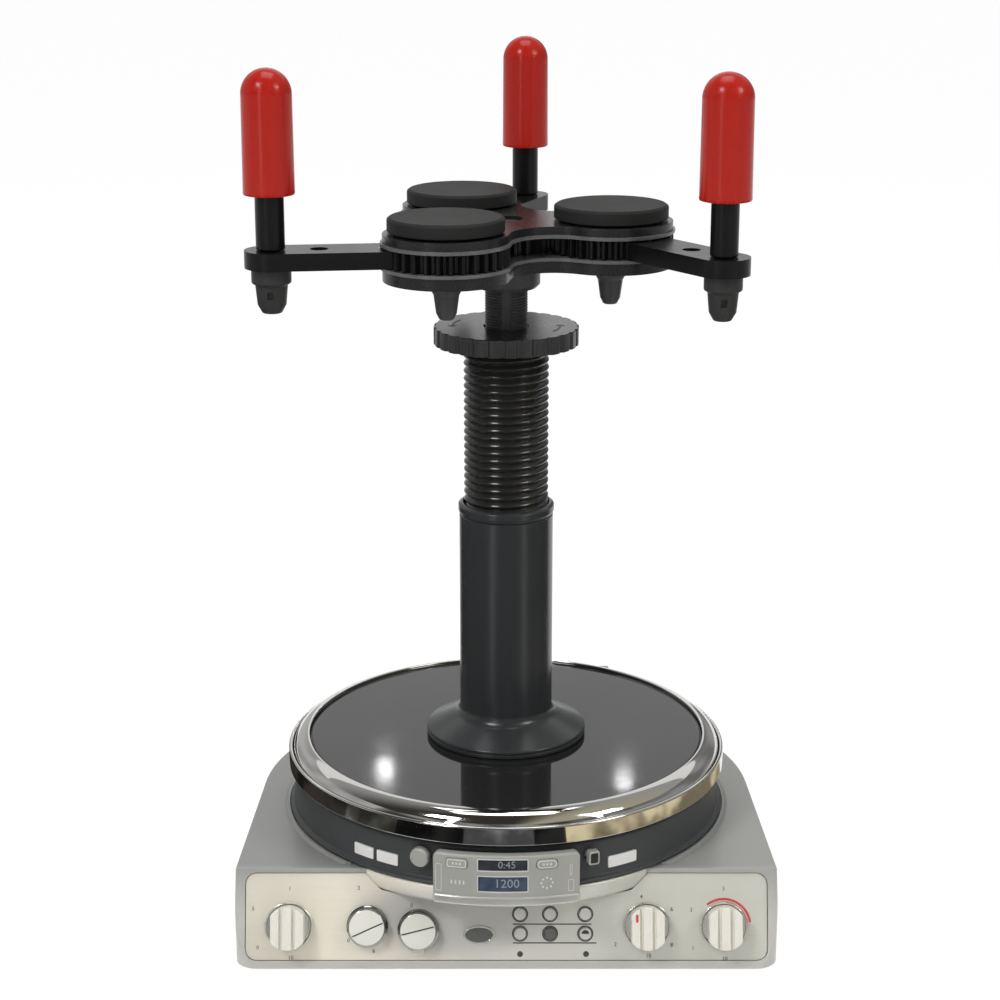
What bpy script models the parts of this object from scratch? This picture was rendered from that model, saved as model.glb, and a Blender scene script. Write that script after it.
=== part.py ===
"""A benchtop vortex mixer: an orbiting round platform on a control base, and a screw column that
carries a self-centring three-arm clamp head.

Metres, +Z up. The origin lies on the bench, on the drum's axis, and -Y is the front."""

import math

import bmesh
import bpy
from mathutils import Matrix, Vector

# Clearances
GAP = 0.0003  # between pieces that seat on each other
RUNNING = 0.0005  # round a shaft, pin or key, on each side
MERGE = 0.00001

# Facets round a turned piece
LARGE_ROUND = 44
COLUMN_ROUND = 28
MIDDLE_ROUND = 20
THREAD_ROUND = 16
SMALL_ROUND = 10
POD_FACETS = 8

# Base housing
BASE_LIFT = 0.0012
BASE_FRONT_SETBACK = 0.0079  # of the panel's foot behind the drum's front
BASE_REAR_CENTRE_Y = 0.015
BASE_SIDE_TAPER = math.radians(2.3)
BASE_CORNER = 0.012
BASE_EDGE = 0.0025
BASE_WALL = 0.004
PANEL_FOOT_Z = 0.0015
PANEL_TILT = math.radians(20)
PANEL_LENGTH = 0.0538
FLOOR_PLATE_THICKNESS = 0.002
FLOOR_PLATE_Z = 0.0015
FOOT_RADIUS = 0.009
FOOT_STEM_RADIUS = 0.003
FOOT_STEM_HEAD = 0.0015
FOOT_INSET = 0.030

# Brow of the housing, which carries the front of the drum
BROW_SETBACK = 0.001
BROW_LIP = 0.011
BROW_TAPER = 0.0036
BROW_CONE_DROP = 0.0066
BROW_CONE_RUN = 0.0149
BROW_ROOT = 0.009

# Front panel: places along the slope are measured from its lower edge
FASCIA_FRAME = 0.0062
FASCIA_FOOT = 0.0044
FASCIA_HEAD = 0.0026
FASCIA_CORNER = 0.006
FASCIA_THICKNESS = 0.0012
FASCIA_SINK = 0.001
KNOB_SLOPE = 0.0227
KNOB_END_MARGIN = 0.0236
KNOB_RADIUS = 0.0133
KNOB_SKIRT = 0.0024
KNOB_EDGE = 0.0008
GRIP_BAR_RADIUS = 0.0116
GRIP_BAR_WIDTH = 0.018
GRIP_BAR_HEIGHT = 0.0142
GRIP_BAR_SINK = 0.001
GRIP_RIBS = 4
GRIP_GROOVE_WIDTH = 0.0013
GRIP_GROOVE_DEPTH = 0.0032
ROUND_KNOB_RADIUS = 0.0113
ROUND_KNOB_HEIGHT = 0.0085
ROUND_KNOB_EDGE = 0.0012
POINTER_REACH = 0.0135
POINTER_WIDTH = 0.0036
KNOB_PITCHES = (0.0425, 0.0702, -0.0418)  # knobs 2, 3 from knob 1, and knob 4 from knob 5
THIRD_KNOB_DROP = 0.002  # below the row of the other knobs
SPINDLE_RADIUS = 0.003
POT_RADIUS = 0.008
POT_LENGTH = 0.010
BOARD_THICKNESS = 0.0016
BOARD_MARGIN = 0.002
BUTTON_RADIUS = 0.0033
BUTTON_PROUD = 0.0012
BUTTON_COLLAR = 0.0008
BUTTON_TRAVEL = 0.0008
BUTTON_COLUMNS = (0.0074, 0.0237, 0.0428)
BUTTON_ROWS = (0.0291, 0.0186)

# Drum and display pod
DRUM_BEAD = 0.002
DRUM_TAPER = 0.0015
DRUM_BEAD_HEIGHT = 0.0018
DRUM_HEIGHT = 0.0255
DRUM_SHOULDER = 0.003
DRUM_WALL = 0.0035
POD_THICKNESS = 0.0056
POD_HALF_ANGLE = math.radians(17.6)
POD_BELOW_DECK = 0.0054
POD_HEIGHT = 0.0287
POD_WALL = 0.0014
POD_EDGE = 0.0016
WINDOW_X = -0.002
WINDOW_HALF_WIDTH = 0.0131
WINDOW_RECESS = 0.0008
UPPER_WINDOW = (0.0204, 0.0266)  # heights above the pod's lower edge
LOWER_WINDOW = (0.0084, 0.0169)
LCD_THICKNESS = 0.0014
KEY_ANGLES = (math.radians(-11.6), math.radians(9.4))
KEY_RISE = 0.0238
KEY_WIDTH = 0.011
KEY_HEIGHT = 0.005
KEY_PROUD = 0.0006
KEY_FLANGE = 0.0006
KEY_CORNER = 0.0012
SIDE_BUTTON_ANGLE = math.radians(21.4)
SIDE_BUTTON_RISE = 0.0168  # above the deck
SIDE_BUTTON_HEAD = 0.0042
SIDE_BUTTON_EDGE = 0.001
SIDE_BUTTON_TRAVEL = 0.0008
START_RADIUS = 0.0054
STOP_WIDTH = 0.0062
STOP_HEIGHT = 0.0078
STOP_CORNER = 0.0012

# Orbit drive
ECCENTRICITY = 0.0025
SHAFT_RADIUS = 0.004
BEARING_PLATE_HEIGHT = 0.006
BEARING_PLATE_MARGIN = 0.018
CRANK_WEB_RADIUS = 0.013
CRANK_WEB_HEIGHT = 0.005
CRANK_PIN_RADIUS = 0.005
PIN_ROOT = 0.001
COUNTERWEIGHT_RADIUS = 0.032
COUNTERWEIGHT_ANGLES = (math.radians(20), math.radians(160))
IDLER_CIRCLE = 0.080
IDLER_ANGLES = (math.radians(30), math.radians(150))
IDLER_WEB_RADIUS = 0.009
MOTOR_RADIUS = 0.030
MOTOR_EDGE = 0.0025
MOTOR_LIFT = 0.006
MOTOR_GRIP = 0.014

# Platform
PLATTER_RADIUS = 0.1127
PLATTER_THICKNESS = 0.008
PLATTER_FLANGE = 0.004
PLATTER_CROWN = 0.0004
BOSS_HEIGHT = 0.0042
BOSS_WALL = 0.005
PIN_ENGAGEMENT = 0.008
RIM_WIDTH = 0.0123
RIM_WALL = 0.0036
RIM_BELOW_TOP = 0.015
RIM_BAND = 0.010
RIM_BEAD = 0.0044
RIM_BEAD_DROP = 0.0011
RIM_GROOVE = 0.0016
INLET_X = 0.056
INLET_WIDTH = 0.020
INLET_DEPTH = 0.015
INLET_HEIGHT = 0.0295
INLET_CLEARANCE = 0.002
INLET_SETBACK = 0.0045
INLET_EDGE = 0.0016
SOCKET_WIDTH = 0.0145
SOCKET_HEIGHT = 0.022
SOCKET_DEPTH = 0.012
SOCKET_CORNER = 0.002

# Column and screw
FLANGE_RADIUS = 0.0454
FLANGE_RIM = 0.0048
FLANGE_RISE = 0.0062
FLANGE_EDGE = 0.0012
COLUMN_RADIUS = 0.02625
COLUMN_FILLET = 0.006
COLUMN_HEIGHT = 0.1314
COLUMN_FLOOR = 0.003
COLLAR_LIP = 0.0006
COLLAR_EDGE = 0.0012
COLLAR_HEIGHT = 0.0062
SCREW_RADIUS = 0.02365
SCREW_DEPTH = 0.0017
SCREW_PITCH = 0.0043
SCREW_SHOWN = 0.0902
SCREW_ENGAGED = 0.022
SPIGOT_LENGTH = 0.030
SPIGOT_RADIUS = 0.0215
SPIGOT_FLOOR = 0.008
DISC_RADIUS = 0.0399
DISC_THICKNESS = 0.0098
DISC_NOTCHES = 28
DISC_NOTCH_DEPTH = 0.0011
DISC_NOTCH_SHARES = (0.55, 0.68, 0.87)  # of the notches' pitch: land, notch start, notch end

# Clamp head
NECK_RADIUS = 0.0118
NECK_SHOWN = 0.0343
NECK_COLLAR_RADIUS = 0.0185
NECK_COLLAR_HEIGHT = 0.0125
NECK_COLLAR_EDGE = 0.002
KEYWAY_WIDTH = 0.004
KEYWAY_DEPTH = 0.0012
JOURNAL_RADIUS = 0.009
LOBE_DISTANCE = 0.0566
LOBE_RADIUS = 0.0346
LOBE_WAIST = 0.035
LOBE_ANGLE = math.radians(116.08)
BOTTOM_PLATE_THICKNESS = 0.0082
TOP_PLATE_THICKNESS = 0.0062
ARM_THICKNESS = 0.0092
HUB_THICKNESS = 0.0098
ARM_LEAD = math.radians(49.7)  # how far the arms trail their lobes at rest
ARM_LENGTH = 0.091
ARM_WIDTH = 0.0276
SPARE_HOLE_RADIUS = 0.0048
SPARE_HOLE_PITCH = 0.025
HUB_TEETH = 32
SUN_TEETH = 24
ADDENDUM = 0.7  # in modules
DEDENDUM = 0.95
BACKLASH = 0.0005
FLANK_ANGLE = math.radians(22)
PIVOT_RADIUS = 0.0055
NUB_RADIUS = 0.0078
NUB_TIP_RADIUS = 0.0055
NUB_LENGTH = 0.0212
NUB_TIP_EDGE = 0.0012
PAD_RADIUS = 0.0309
PAD_THICKNESS = 0.0075
PAD_STEP = 0.0009
PAD_STEP_INSET = 0.003
PAD_EDGE = 0.0011
POST_RADIUS = 0.0076
POST_TENON_RADIUS = 0.005
POST_SHOWN = 0.0283
POST_IN_GRIP = 0.048
GRIP_RADIUS = 0.0132
GRIP_FLARE = 0.0004
GRIP_LENGTH = 0.0643
GRIP_EDGE = 0.001
NUT_COLLAR_RADIUS = 0.0105
NUT_COLLAR_HEIGHT = 0.0076
NUT_RADIUS = 0.0086
NUT_LENGTH = 0.0236
NUT_FLOOR = 0.003
NUT_EDGE = 0.001
NUT_TIP = 0.003

# Heights and radii that follow from those
DECK_Z = PANEL_FOOT_Z + PANEL_LENGTH * math.cos(PANEL_TILT)
FLOOR_PLATE_TOP = FLOOR_PLATE_Z + FLOOR_PLATE_THICKNESS
DRUM_Z = DECK_Z + GAP
DRUM_TOP = DRUM_Z + DRUM_HEIGHT
RIM_RADIUS = PLATTER_RADIUS + RIM_WIDTH
DRUM_FOOT_RADIUS = RIM_RADIUS
DRUM_RADIUS = DRUM_FOOT_RADIUS - DRUM_BEAD
DRUM_TOP_RADIUS = DRUM_RADIUS - DRUM_TAPER
BASE_FRONT_Y = BASE_FRONT_SETBACK - DRUM_RADIUS
BROW_RADIUS = DRUM_FOOT_RADIUS - BROW_SETBACK
BEARING_TOP = DRUM_Z + BEARING_PLATE_HEIGHT
WEB_Z = BEARING_TOP + GAP
WEB_TOP = WEB_Z + CRANK_WEB_HEIGHT
BOSS_Z = DRUM_TOP + GAP
PLATTER_Z = BOSS_Z + BOSS_HEIGHT
PIN_TOP = BOSS_Z + PIN_ENGAGEMENT
PLATTER_TOP = PLATTER_Z + PLATTER_FLANGE + PLATTER_THICKNESS
FLANGE_Z = PLATTER_TOP + GAP
COLUMN_TOP = FLANGE_Z + COLUMN_HEIGHT
COLLAR_Z = COLUMN_TOP + GAP
COLLAR_TOP = COLLAR_Z + COLLAR_HEIGHT
BORE_RADIUS = SCREW_RADIUS + RUNNING
DISC_Z = COLLAR_TOP + SCREW_SHOWN
DISC_TOP = DISC_Z + DISC_THICKNESS
SCREW_TOP = DISC_Z - GAP
THREAD_Z = COLLAR_Z - SCREW_ENGAGED
SPIGOT_Z = THREAD_Z - SPIGOT_LENGTH
NECK_Z = SPIGOT_Z + SPIGOT_FLOOR + GAP
BOTTOM_PLATE_Z = DISC_TOP + NECK_SHOWN
BOTTOM_PLATE_TOP = BOTTOM_PLATE_Z + BOTTOM_PLATE_THICKNESS
HUB_Z = BOTTOM_PLATE_TOP + GAP
ARM_TOP = HUB_Z + ARM_THICKNESS
TOP_PLATE_Z = HUB_Z + HUB_THICKNESS + GAP
TOP_PLATE_TOP = TOP_PLATE_Z + TOP_PLATE_THICKNESS
PAD_Z = TOP_PLATE_TOP + GAP
POST_Z = ARM_TOP + GAP
GRIP_Z = POST_Z + POST_SHOWN
NUT_TOP = HUB_Z - GAP
GEAR_MODULE = 2 * LOBE_DISTANCE / (HUB_TEETH + SUN_TEETH)
POD_INNER = DRUM_FOOT_RADIUS + RUNNING
POD_OUTER = POD_INNER + POD_THICKNESS
POD_Z = DECK_Z - POD_BELOW_DECK
FASCIA_FACE = -FASCIA_SINK  # along the panel's normal
FASCIA_BACK = FASCIA_FACE - FASCIA_THICKNESS
RECESS_FLOOR = FASCIA_BACK - GAP
BOARD_FACE = -BASE_WALL - GAP - POT_LENGTH
BUTTON_STEM = BASE_WALL + GAP - FASCIA_SINK + 2 * BUTTON_TRAVEL
SPINDLE_LENGTH = FASCIA_FACE - BOARD_FACE - GAP
INLET_REACH = max(RIM_RADIUS + ECCENTRICITY, DRUM_FOOT_RADIUS) + INLET_CLEARANCE
INLET_Y = math.sqrt(INLET_REACH**2 - (INLET_X - INLET_WIDTH / 2) ** 2)
BASE_REAR_RADIUS = INLET_SETBACK + math.hypot(
    INLET_X + INLET_WIDTH / 2, INLET_Y + INLET_DEPTH - BASE_REAR_CENTRE_Y
)

# Finishes: colour, roughness, metallic
FINISHES = {
    "grey_paint": ((0.50, 0.50, 0.49), 0.38, 0.3),
    "pale_steel": ((0.74, 0.72, 0.66), 0.32, 0.6),
    "cream_plastic": ((0.80, 0.78, 0.72), 0.35, 0.0),
    "charcoal_paint": ((0.045, 0.047, 0.052), 0.42, 0.0),
    "platform_coat": ((0.055, 0.055, 0.058), 0.3, 0.0),
    "chrome": ((0.80, 0.80, 0.80), 0.08, 1.0),
    "blue_black_paint": ((0.018, 0.026, 0.033), 0.32, 0.0),
    "black_anodised": ((0.012, 0.012, 0.013), 0.36, 0.2),
    "black_rubber": ((0.020, 0.020, 0.021), 0.7, 0.0),
    "red_vinyl": ((0.62, 0.028, 0.018), 0.3, 0.0),
    "silver_plastic": ((0.52, 0.52, 0.50), 0.35, 0.3),
    "dark_plastic": ((0.05, 0.05, 0.055), 0.4, 0.0),
    "display_glass": ((0.10, 0.16, 0.26), 0.12, 0.0),
    "plain_steel": ((0.45, 0.45, 0.46), 0.35, 0.9),
    "green_board": ((0.02, 0.16, 0.06), 0.5, 0.0),
}


# Scene and helpers


def new_collection(name):
    made = bpy.data.collections.new(name)
    bpy.context.scene.collection.children.link(made)
    return made


def make_finishes():
    for name, (colour, roughness, metallic) in FINISHES.items():
        material = bpy.data.materials.new(name)
        material.use_nodes = True
        shader = material.node_tree.nodes["Principled BSDF"]
        shader.inputs["Base Color"].default_value = (*colour, 1)
        shader.inputs["Roughness"].default_value = roughness
        shader.inputs["Metallic"].default_value = metallic


def empty(name, parent, at=(0, 0, 0), turn=(0, 0, 0)):
    """A frame for pieces: an empty on a joint's axis or on the panel."""
    frame = bpy.data.objects.new(name, None)
    PARTS.objects.link(frame)
    frame.parent = parent
    frame.location = at
    frame.rotation_euler = turn
    return frame


def add(name, mesh, finish, parent, at=(0, 0, 0), turn=(0, 0, 0)):
    """Puts a mesh in the scene as a piece or, with no finish, as a cutter."""
    piece = bpy.data.objects.new(name, mesh)
    piece.parent = parent
    piece.location = at
    piece.rotation_euler = turn
    if finish:
        PARTS.objects.link(piece)
        mesh.materials.clear()
        mesh.materials.append(bpy.data.materials[finish])
    else:
        CUTTERS.objects.link(piece)
        piece.hide_render = True
        piece.display_type = "WIRE"
    return piece


def boolean(piece, other, operation, solver="EXACT"):
    modifier = piece.modifiers.new(f"{operation.lower()}_{other.name}", "BOOLEAN")
    modifier.object = other
    modifier.operation = operation
    modifier.solver = solver


def cut(piece, *cutters):
    for cutter in cutters:
        boolean(piece, cutter, "DIFFERENCE")


def join(piece, *others):
    for other in others:
        boolean(piece, other, "UNION")


def round_edges(piece, width, segments=2, angle=50):
    modifier = piece.modifiers.new("round_edges", "BEVEL")
    modifier.width = width
    modifier.segments = segments
    modifier.limit_method = "ANGLE"
    modifier.angle_limit = math.radians(angle)


def finished(shape, name):
    """Turns a bmesh into a mesh with its faces pointing out."""
    bmesh.ops.recalc_face_normals(shape, faces=shape.faces)
    mesh = bpy.data.meshes.new(name)
    shape.to_mesh(mesh)
    shape.free()
    mesh.shade_smooth()
    mesh.set_sharp_from_angle(angle=math.radians(35))
    return mesh


# Outlines and shapes


def arc(centre, radius, start, end, steps):
    """Points along an arc, both ends included."""
    angles = [start + (end - start) * k / steps for k in range(steps + 1)]
    return [(centre[0] + radius * math.cos(a), centre[1] + radius * math.sin(a)) for a in angles]


def circle(centre, radius, steps):
    return arc(centre, radius, 0, math.tau, steps)[:-1]


def rounded_rectangle(left, right, low, high, radius, steps=4):
    corners = (
        (right - radius, high - radius),
        (left + radius, high - radius),
        (left + radius, low + radius),
        (right - radius, low + radius),
    )
    points = []
    for quarter, corner in enumerate(corners):
        start = quarter * math.pi / 2
        points += arc(corner, radius, start, start + math.pi / 2, steps)
    return points


def polar(radius, angle):
    return radius * math.cos(angle), radius * math.sin(angle)


def flat_mesh(name, outlines, low, high):
    """A flat piece from low to high: the first outline is its edge, and the others are holes.
    Without holes its faces stay whole, so that Booleans meet no stray edges."""
    curve = bpy.data.curves.new(name, "CURVE")
    curve.dimensions = "2D"
    curve.fill_mode = "BOTH"
    curve.extrude = (high - low) / 2
    for outline in outlines:
        spline = curve.splines.new("POLY")
        spline.points.add(len(outline) - 1)
        for point, (x, y) in zip(spline.points, outline):
            point.co = (x, y, 0, 1)
        spline.use_cyclic_u = True
    guide = bpy.data.objects.new(name, curve)
    CUTTERS.objects.link(guide)
    bpy.context.view_layer.update()
    graph = bpy.context.evaluated_depsgraph_get()
    filled = bpy.data.meshes.new_from_object(guide.evaluated_get(graph))
    shape = bmesh.new()
    shape.from_mesh(filled)
    bpy.data.objects.remove(guide)
    bpy.data.curves.remove(curve)
    bpy.data.meshes.remove(filled)
    bmesh.ops.remove_doubles(shape, verts=shape.verts, dist=MERGE)
    bmesh.ops.translate(shape, verts=shape.verts, vec=(0, 0, (low + high) / 2))
    if len(outlines) == 1:
        bmesh.ops.dissolve_limit(shape, angle_limit=0.001, verts=shape.verts, edges=shape.edges)
    return finished(shape, name)


def turned(name, profile, sides, finish, parent, at=(0, 0, 0), turn=(0, 0, 0)):
    """A turned piece. Its (radius, height) profile runs down the outer side; one that starts off
    the axis closes on itself as a ring."""
    shape = bmesh.new()
    points = [shape.verts.new((radius, 0, height)) for radius, height in profile]
    ring = profile[0][0] > 0
    for first, second in zip(points, points[1:] + points[:1] if ring else points[1:]):
        shape.edges.new((first, second))
    mesh = bpy.data.meshes.new(name)
    shape.to_mesh(mesh)
    shape.free()
    piece = add(name, mesh, finish, parent, at, turn)
    screw = piece.modifiers.new("turn", "SCREW")
    screw.axis = "Z"
    screw.steps = sides
    screw.render_steps = sides
    screw.use_merge_vertices = True
    screw.merge_threshold = MERGE
    return piece


def rods(name, centres, radius, low, high, sides, finish, parent):
    """Upright rods of one radius, one at each centre."""
    shape = bmesh.new()
    for x, y in centres:
        bmesh.ops.create_cone(
            shape,
            cap_ends=True,
            segments=sides,
            radius1=radius,
            radius2=radius,
            depth=high - low,
            matrix=Matrix.Translation((x, y, (low + high) / 2)),
        )
    return add(name, finished(shape, name), finish, parent)


def block(name, low, high, finish, parent):
    """A box between two corners."""
    low, high = Vector(low), Vector(high)
    shape = bmesh.new()
    place = Matrix.Translation((low + high) / 2) @ Matrix.Diagonal((*(high - low), 1))
    bmesh.ops.create_cube(shape, size=1, matrix=place)
    return add(name, finished(shape, name), finish, parent)


def front_sector(name, inner, outer, low, high, half_angle, steps, finish, parent):
    """A stretch of ring wall about the Z axis, centred on the front."""
    shape = bmesh.new()
    start = -math.pi / 2 - half_angle
    corners = ((inner, low), (outer, low), (outer, high), (inner, high))
    section = [shape.verts.new((*polar(radius, start), height)) for radius, height in corners]
    shape.faces.new(section)
    bmesh.ops.spin(
        shape,
        geom=shape.verts[:] + shape.edges[:] + shape.faces[:],
        cent=(0, 0, 0),
        axis=(0, 0, 1),
        angle=2 * half_angle,
        steps=steps,
    )
    return add(name, finished(shape, name), finish, parent)


def thread_mesh(name, crest, root, pitch, low, high, steps):
    """A right-hand screw with rounded ribs, cut square at both ends."""
    turns = math.ceil((high - low) / pitch) + 2
    rib = ((root, 0), (crest, 0.5), (root, 1))
    shape = bmesh.new()
    points = [shape.verts.new((radius, 0, low - pitch + share * pitch)) for radius, share in rib]
    for first, second in zip(points, points[1:]):
        shape.edges.new((first, second))
    bmesh.ops.spin(
        shape,
        geom=shape.verts[:] + shape.edges[:],
        cent=(0, 0, 0),
        axis=(0, 0, 1),
        dvec=(0, 0, pitch / steps),
        angle=math.tau * turns,
        steps=steps * turns,
    )
    bmesh.ops.remove_doubles(shape, verts=shape.verts, dist=MERGE)
    for height, outwards in ((low, -1), (high, 1)):
        bmesh.ops.bisect_plane(
            shape,
            geom=shape.verts[:] + shape.edges[:] + shape.faces[:],
            plane_co=(0, 0, height),
            plane_no=(0, 0, outwards),
            clear_outer=True,
        )
    bmesh.ops.holes_fill(shape, edges=[edge for edge in shape.edges if edge.is_boundary])
    return finished(shape, name)


def gear_outline(teeth, first):
    """Straight-flanked teeth, with the first one's middle at this angle."""
    pitch_radius = GEAR_MODULE * teeth / 2
    tip = pitch_radius + ADDENDUM * GEAR_MODULE
    root = pitch_radius - DEDENDUM * GEAR_MODULE
    half = math.pi * GEAR_MODULE / 4 - BACKLASH / 2
    half_tip = half - ADDENDUM * GEAR_MODULE * math.tan(FLANK_ANGLE)
    half_root = half + DEDENDUM * GEAR_MODULE * math.tan(FLANK_ANGLE)
    points = []
    for tooth in range(teeth):
        middle = first + math.tau * tooth / teeth
        for radius, half_width, side in (
            (root, half_root, -1),
            (tip, half_tip, -1),
            (tip, half_tip, 1),
            (root, half_root, 1),
        ):
            points.append(polar(radius, middle + side * half_width / radius))
    return points


def clover_outline(lobe_steps=12, waist_steps=5):
    """Three round lobes joined by hollow waists, each arc tangent to the next."""
    lobe, waist, distance = LOBE_RADIUS, LOBE_WAIST, LOBE_DISTANCE
    hollow = (distance**2 + waist**2 - distance * waist - lobe**2) / (
        2 * lobe + distance - 2 * waist
    )
    points = []
    for arm in range(3):
        towards = LOBE_ANGLE + arm * math.tau / 3
        centre = Vector(polar(distance, towards))
        before = Vector(polar(waist + hollow, towards - math.pi / 3))
        after = Vector(polar(waist + hollow, towards + math.pi / 3))
        start = math.atan2(*(before - centre).yx)
        sweep = (math.atan2(*(after - centre).yx) - start) % math.tau
        points += arc(centre, lobe, start, start + sweep, lobe_steps)
        start += sweep + math.pi
        far = Vector(polar(distance, towards + math.tau / 3))
        sweep = (start - math.atan2(*(far - after).yx)) % math.tau
        points += arc(after, hollow, start, start - sweep, waist_steps)[1:-1]
    return points


def housing_outline(inset):
    """The base in plan: a straight front, sides that close in to the rear, and a round rear."""
    rear = BASE_REAR_RADIUS - inset
    corner = BASE_CORNER - inset
    front = BASE_FRONT_Y + inset
    side = rear + BASE_REAR_CENTRE_Y * math.sin(BASE_SIDE_TAPER)
    corner_y = front + corner
    corner_x = (side - corner - corner_y * math.sin(BASE_SIDE_TAPER)) / math.cos(BASE_SIDE_TAPER)
    quarter = math.pi / 2
    taper = BASE_SIDE_TAPER
    return (
        arc((-corner_x, corner_y), corner, math.pi - taper, 3 * quarter, 4)
        + arc((corner_x, corner_y), corner, 3 * quarter, 4 * quarter + taper, 4)
        + arc((0, BASE_REAR_CENTRE_Y), rear, taper, math.pi - taper, 20)
    )


def housing_form(name, inset, low, high, finish, parent):
    """The base's body with its slanted front, drawn in all round by the inset."""
    flat = flat_mesh(name, [housing_outline(inset)], low, high)
    shape = bmesh.new()
    shape.from_mesh(flat)
    bpy.data.meshes.remove(flat)
    outwards = Vector((0, -math.cos(PANEL_TILT), math.sin(PANEL_TILT)))
    foot = Vector((0, BASE_FRONT_Y, PANEL_FOOT_Z))
    made = bmesh.ops.bisect_plane(
        shape,
        geom=shape.verts[:] + shape.edges[:] + shape.faces[:],
        plane_co=foot - outwards * inset,
        plane_no=outwards,
        clear_outer=True,
    )
    rim = [item for item in made["geom_cut"] if isinstance(item, bmesh.types.BMEdge)]
    bmesh.ops.edgenet_fill(shape, edges=rim)
    return add(name, finished(shape, name), finish, parent)


def base_half_width(y):
    """Half the base's width where its sides are straight."""
    taper = BASE_SIDE_TAPER
    side = BASE_REAR_RADIUS + BASE_REAR_CENTRE_Y * math.sin(taper)
    return (side - y * math.sin(taper)) / math.cos(taper)


# Base


def knob_places():
    """The knobs' places on the panel, from left to right."""
    end = base_half_width(BASE_FRONT_Y) - FASCIA_FRAME - KNOB_END_MARGIN
    second, third, fourth = KNOB_PITCHES
    places = [(x, KNOB_SLOPE) for x in (-end, second - end, third - end, end + fourth, end)]
    places[2] = (third - end, KNOB_SLOPE - THIRD_KNOB_DROP)
    return places


def button_places():
    return [(x, slope) for slope in BUTTON_ROWS for x in BUTTON_COLUMNS]


def brow_profile(clearance):
    """The brow's turned section, wider by the clearance."""
    edge = BROW_RADIUS - BROW_TAPER
    bottom = DECK_Z - BROW_LIP - BROW_CONE_DROP - clearance
    return [
        (0, DECK_Z),
        (BROW_RADIUS + clearance, DECK_Z),
        (edge + clearance, DECK_Z - BROW_LIP - clearance),
        (edge - BROW_CONE_RUN, bottom),
        (0, bottom),
    ]


def foot_places():
    side = base_half_width(0) - FOOT_INSET
    front = BASE_FRONT_Y + FOOT_INSET
    rear = BASE_REAR_CENTRE_Y + BASE_REAR_RADIUS / 2
    rear_side = BASE_REAR_RADIUS * math.cos(math.pi / 6) - FOOT_INSET
    return [(-side, front), (side, front), (-rear_side, rear), (rear_side, rear)]


def make_base(root, panel):
    housing = housing_form("base_housing", 0, BASE_LIFT, DECK_Z, "grey_paint", root)
    round_edges(housing, BASE_EDGE, 2, 40)
    cavity = housing_form("cavity", BASE_WALL, 0, DECK_Z - BASE_WALL, None, root)
    brow = turned("brow", brow_profile(0), LARGE_ROUND, None, root)
    front_y = BASE_FRONT_Y + PANEL_LENGTH * math.sin(PANEL_TILT)
    front = block(
        "brow_front",
        (-BROW_RADIUS, -2 * BROW_RADIUS, 0),
        (BROW_RADIUS, front_y + BROW_ROOT, 2 * DECK_Z),
        None,
        root,
    )
    boolean(brow, front, "INTERSECT")
    recess = add(
        "fascia_recess",
        flat_mesh("fascia_recess", [fascia_outline(GAP)], RECESS_FLOOR, BASE_WALL),
        None,
        panel,
    )
    through = 2 * BASE_WALL
    spindles = rods(
        "spindle_holes",
        knob_places(),
        SPINDLE_RADIUS + RUNNING,
        -through,
        through,
        SMALL_ROUND,
        None,
        panel,
    )
    stems = rods(
        "button_holes",
        button_places(),
        BUTTON_RADIUS + RUNNING,
        -through,
        through,
        SMALL_ROUND,
        None,
        panel,
    )
    shaft_hole = rods(
        "shaft_hole",
        [(0, 0)],
        2 * SHAFT_RADIUS,
        DECK_Z - through,
        DECK_Z + through,
        SMALL_ROUND,
        None,
        root,
    )
    cut(housing, cavity, recess)
    join(housing, brow)
    cut(housing, spindles, stems, shaft_hole)

    plate = housing_form(
        "bottom_plate", BASE_WALL + GAP, FLOOR_PLATE_Z, FLOOR_PLATE_TOP, "plain_steel", root
    )
    foot_holes = rods(
        "foot_holes",
        foot_places(),
        FOOT_STEM_RADIUS + GAP,
        0,
        2 * FLOOR_PLATE_TOP,
        SMALL_ROUND,
        None,
        root,
    )
    cut(plate, foot_holes)
    pad_top = FLOOR_PLATE_Z - GAP
    foot_profile = [
        (0, FLOOR_PLATE_TOP + FOOT_STEM_HEAD),
        (FOOT_STEM_RADIUS, FLOOR_PLATE_TOP + FOOT_STEM_HEAD),
        (FOOT_STEM_RADIUS, pad_top),
        (FOOT_RADIUS, pad_top),
        (FOOT_RADIUS - pad_top / 2, 0),
        (0, 0),
    ]
    for number, (x, y) in enumerate(foot_places(), 1):
        turned(f"foot_{number}", foot_profile, SMALL_ROUND, "black_rubber", root, (x, y, 0))


def fascia_outline(growth):
    half = base_half_width(BASE_FRONT_Y) - FASCIA_FRAME + growth
    return rounded_rectangle(
        -half,
        half,
        FASCIA_FOOT - growth,
        PANEL_LENGTH - FASCIA_HEAD + growth,
        FASCIA_CORNER + growth,
    )


def make_fascia(root, panel):
    knob_holes = [
        circle(place, SPINDLE_RADIUS + RUNNING, SMALL_ROUND) for place in knob_places()
    ]
    button_holes = [
        circle(place, BUTTON_RADIUS + RUNNING, SMALL_ROUND) for place in button_places()
    ]
    outlines = [fascia_outline(0), *knob_holes, *button_holes]
    mesh = flat_mesh("control_fascia", outlines, FASCIA_BACK, FASCIA_FACE)
    fascia = add("control_fascia", mesh, "pale_steel", panel)
    brow_room = turned("brow_room", brow_profile(GAP), LARGE_ROUND, None, root)
    boolean(fascia, brow_room, "DIFFERENCE", "MANIFOLD")


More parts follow.
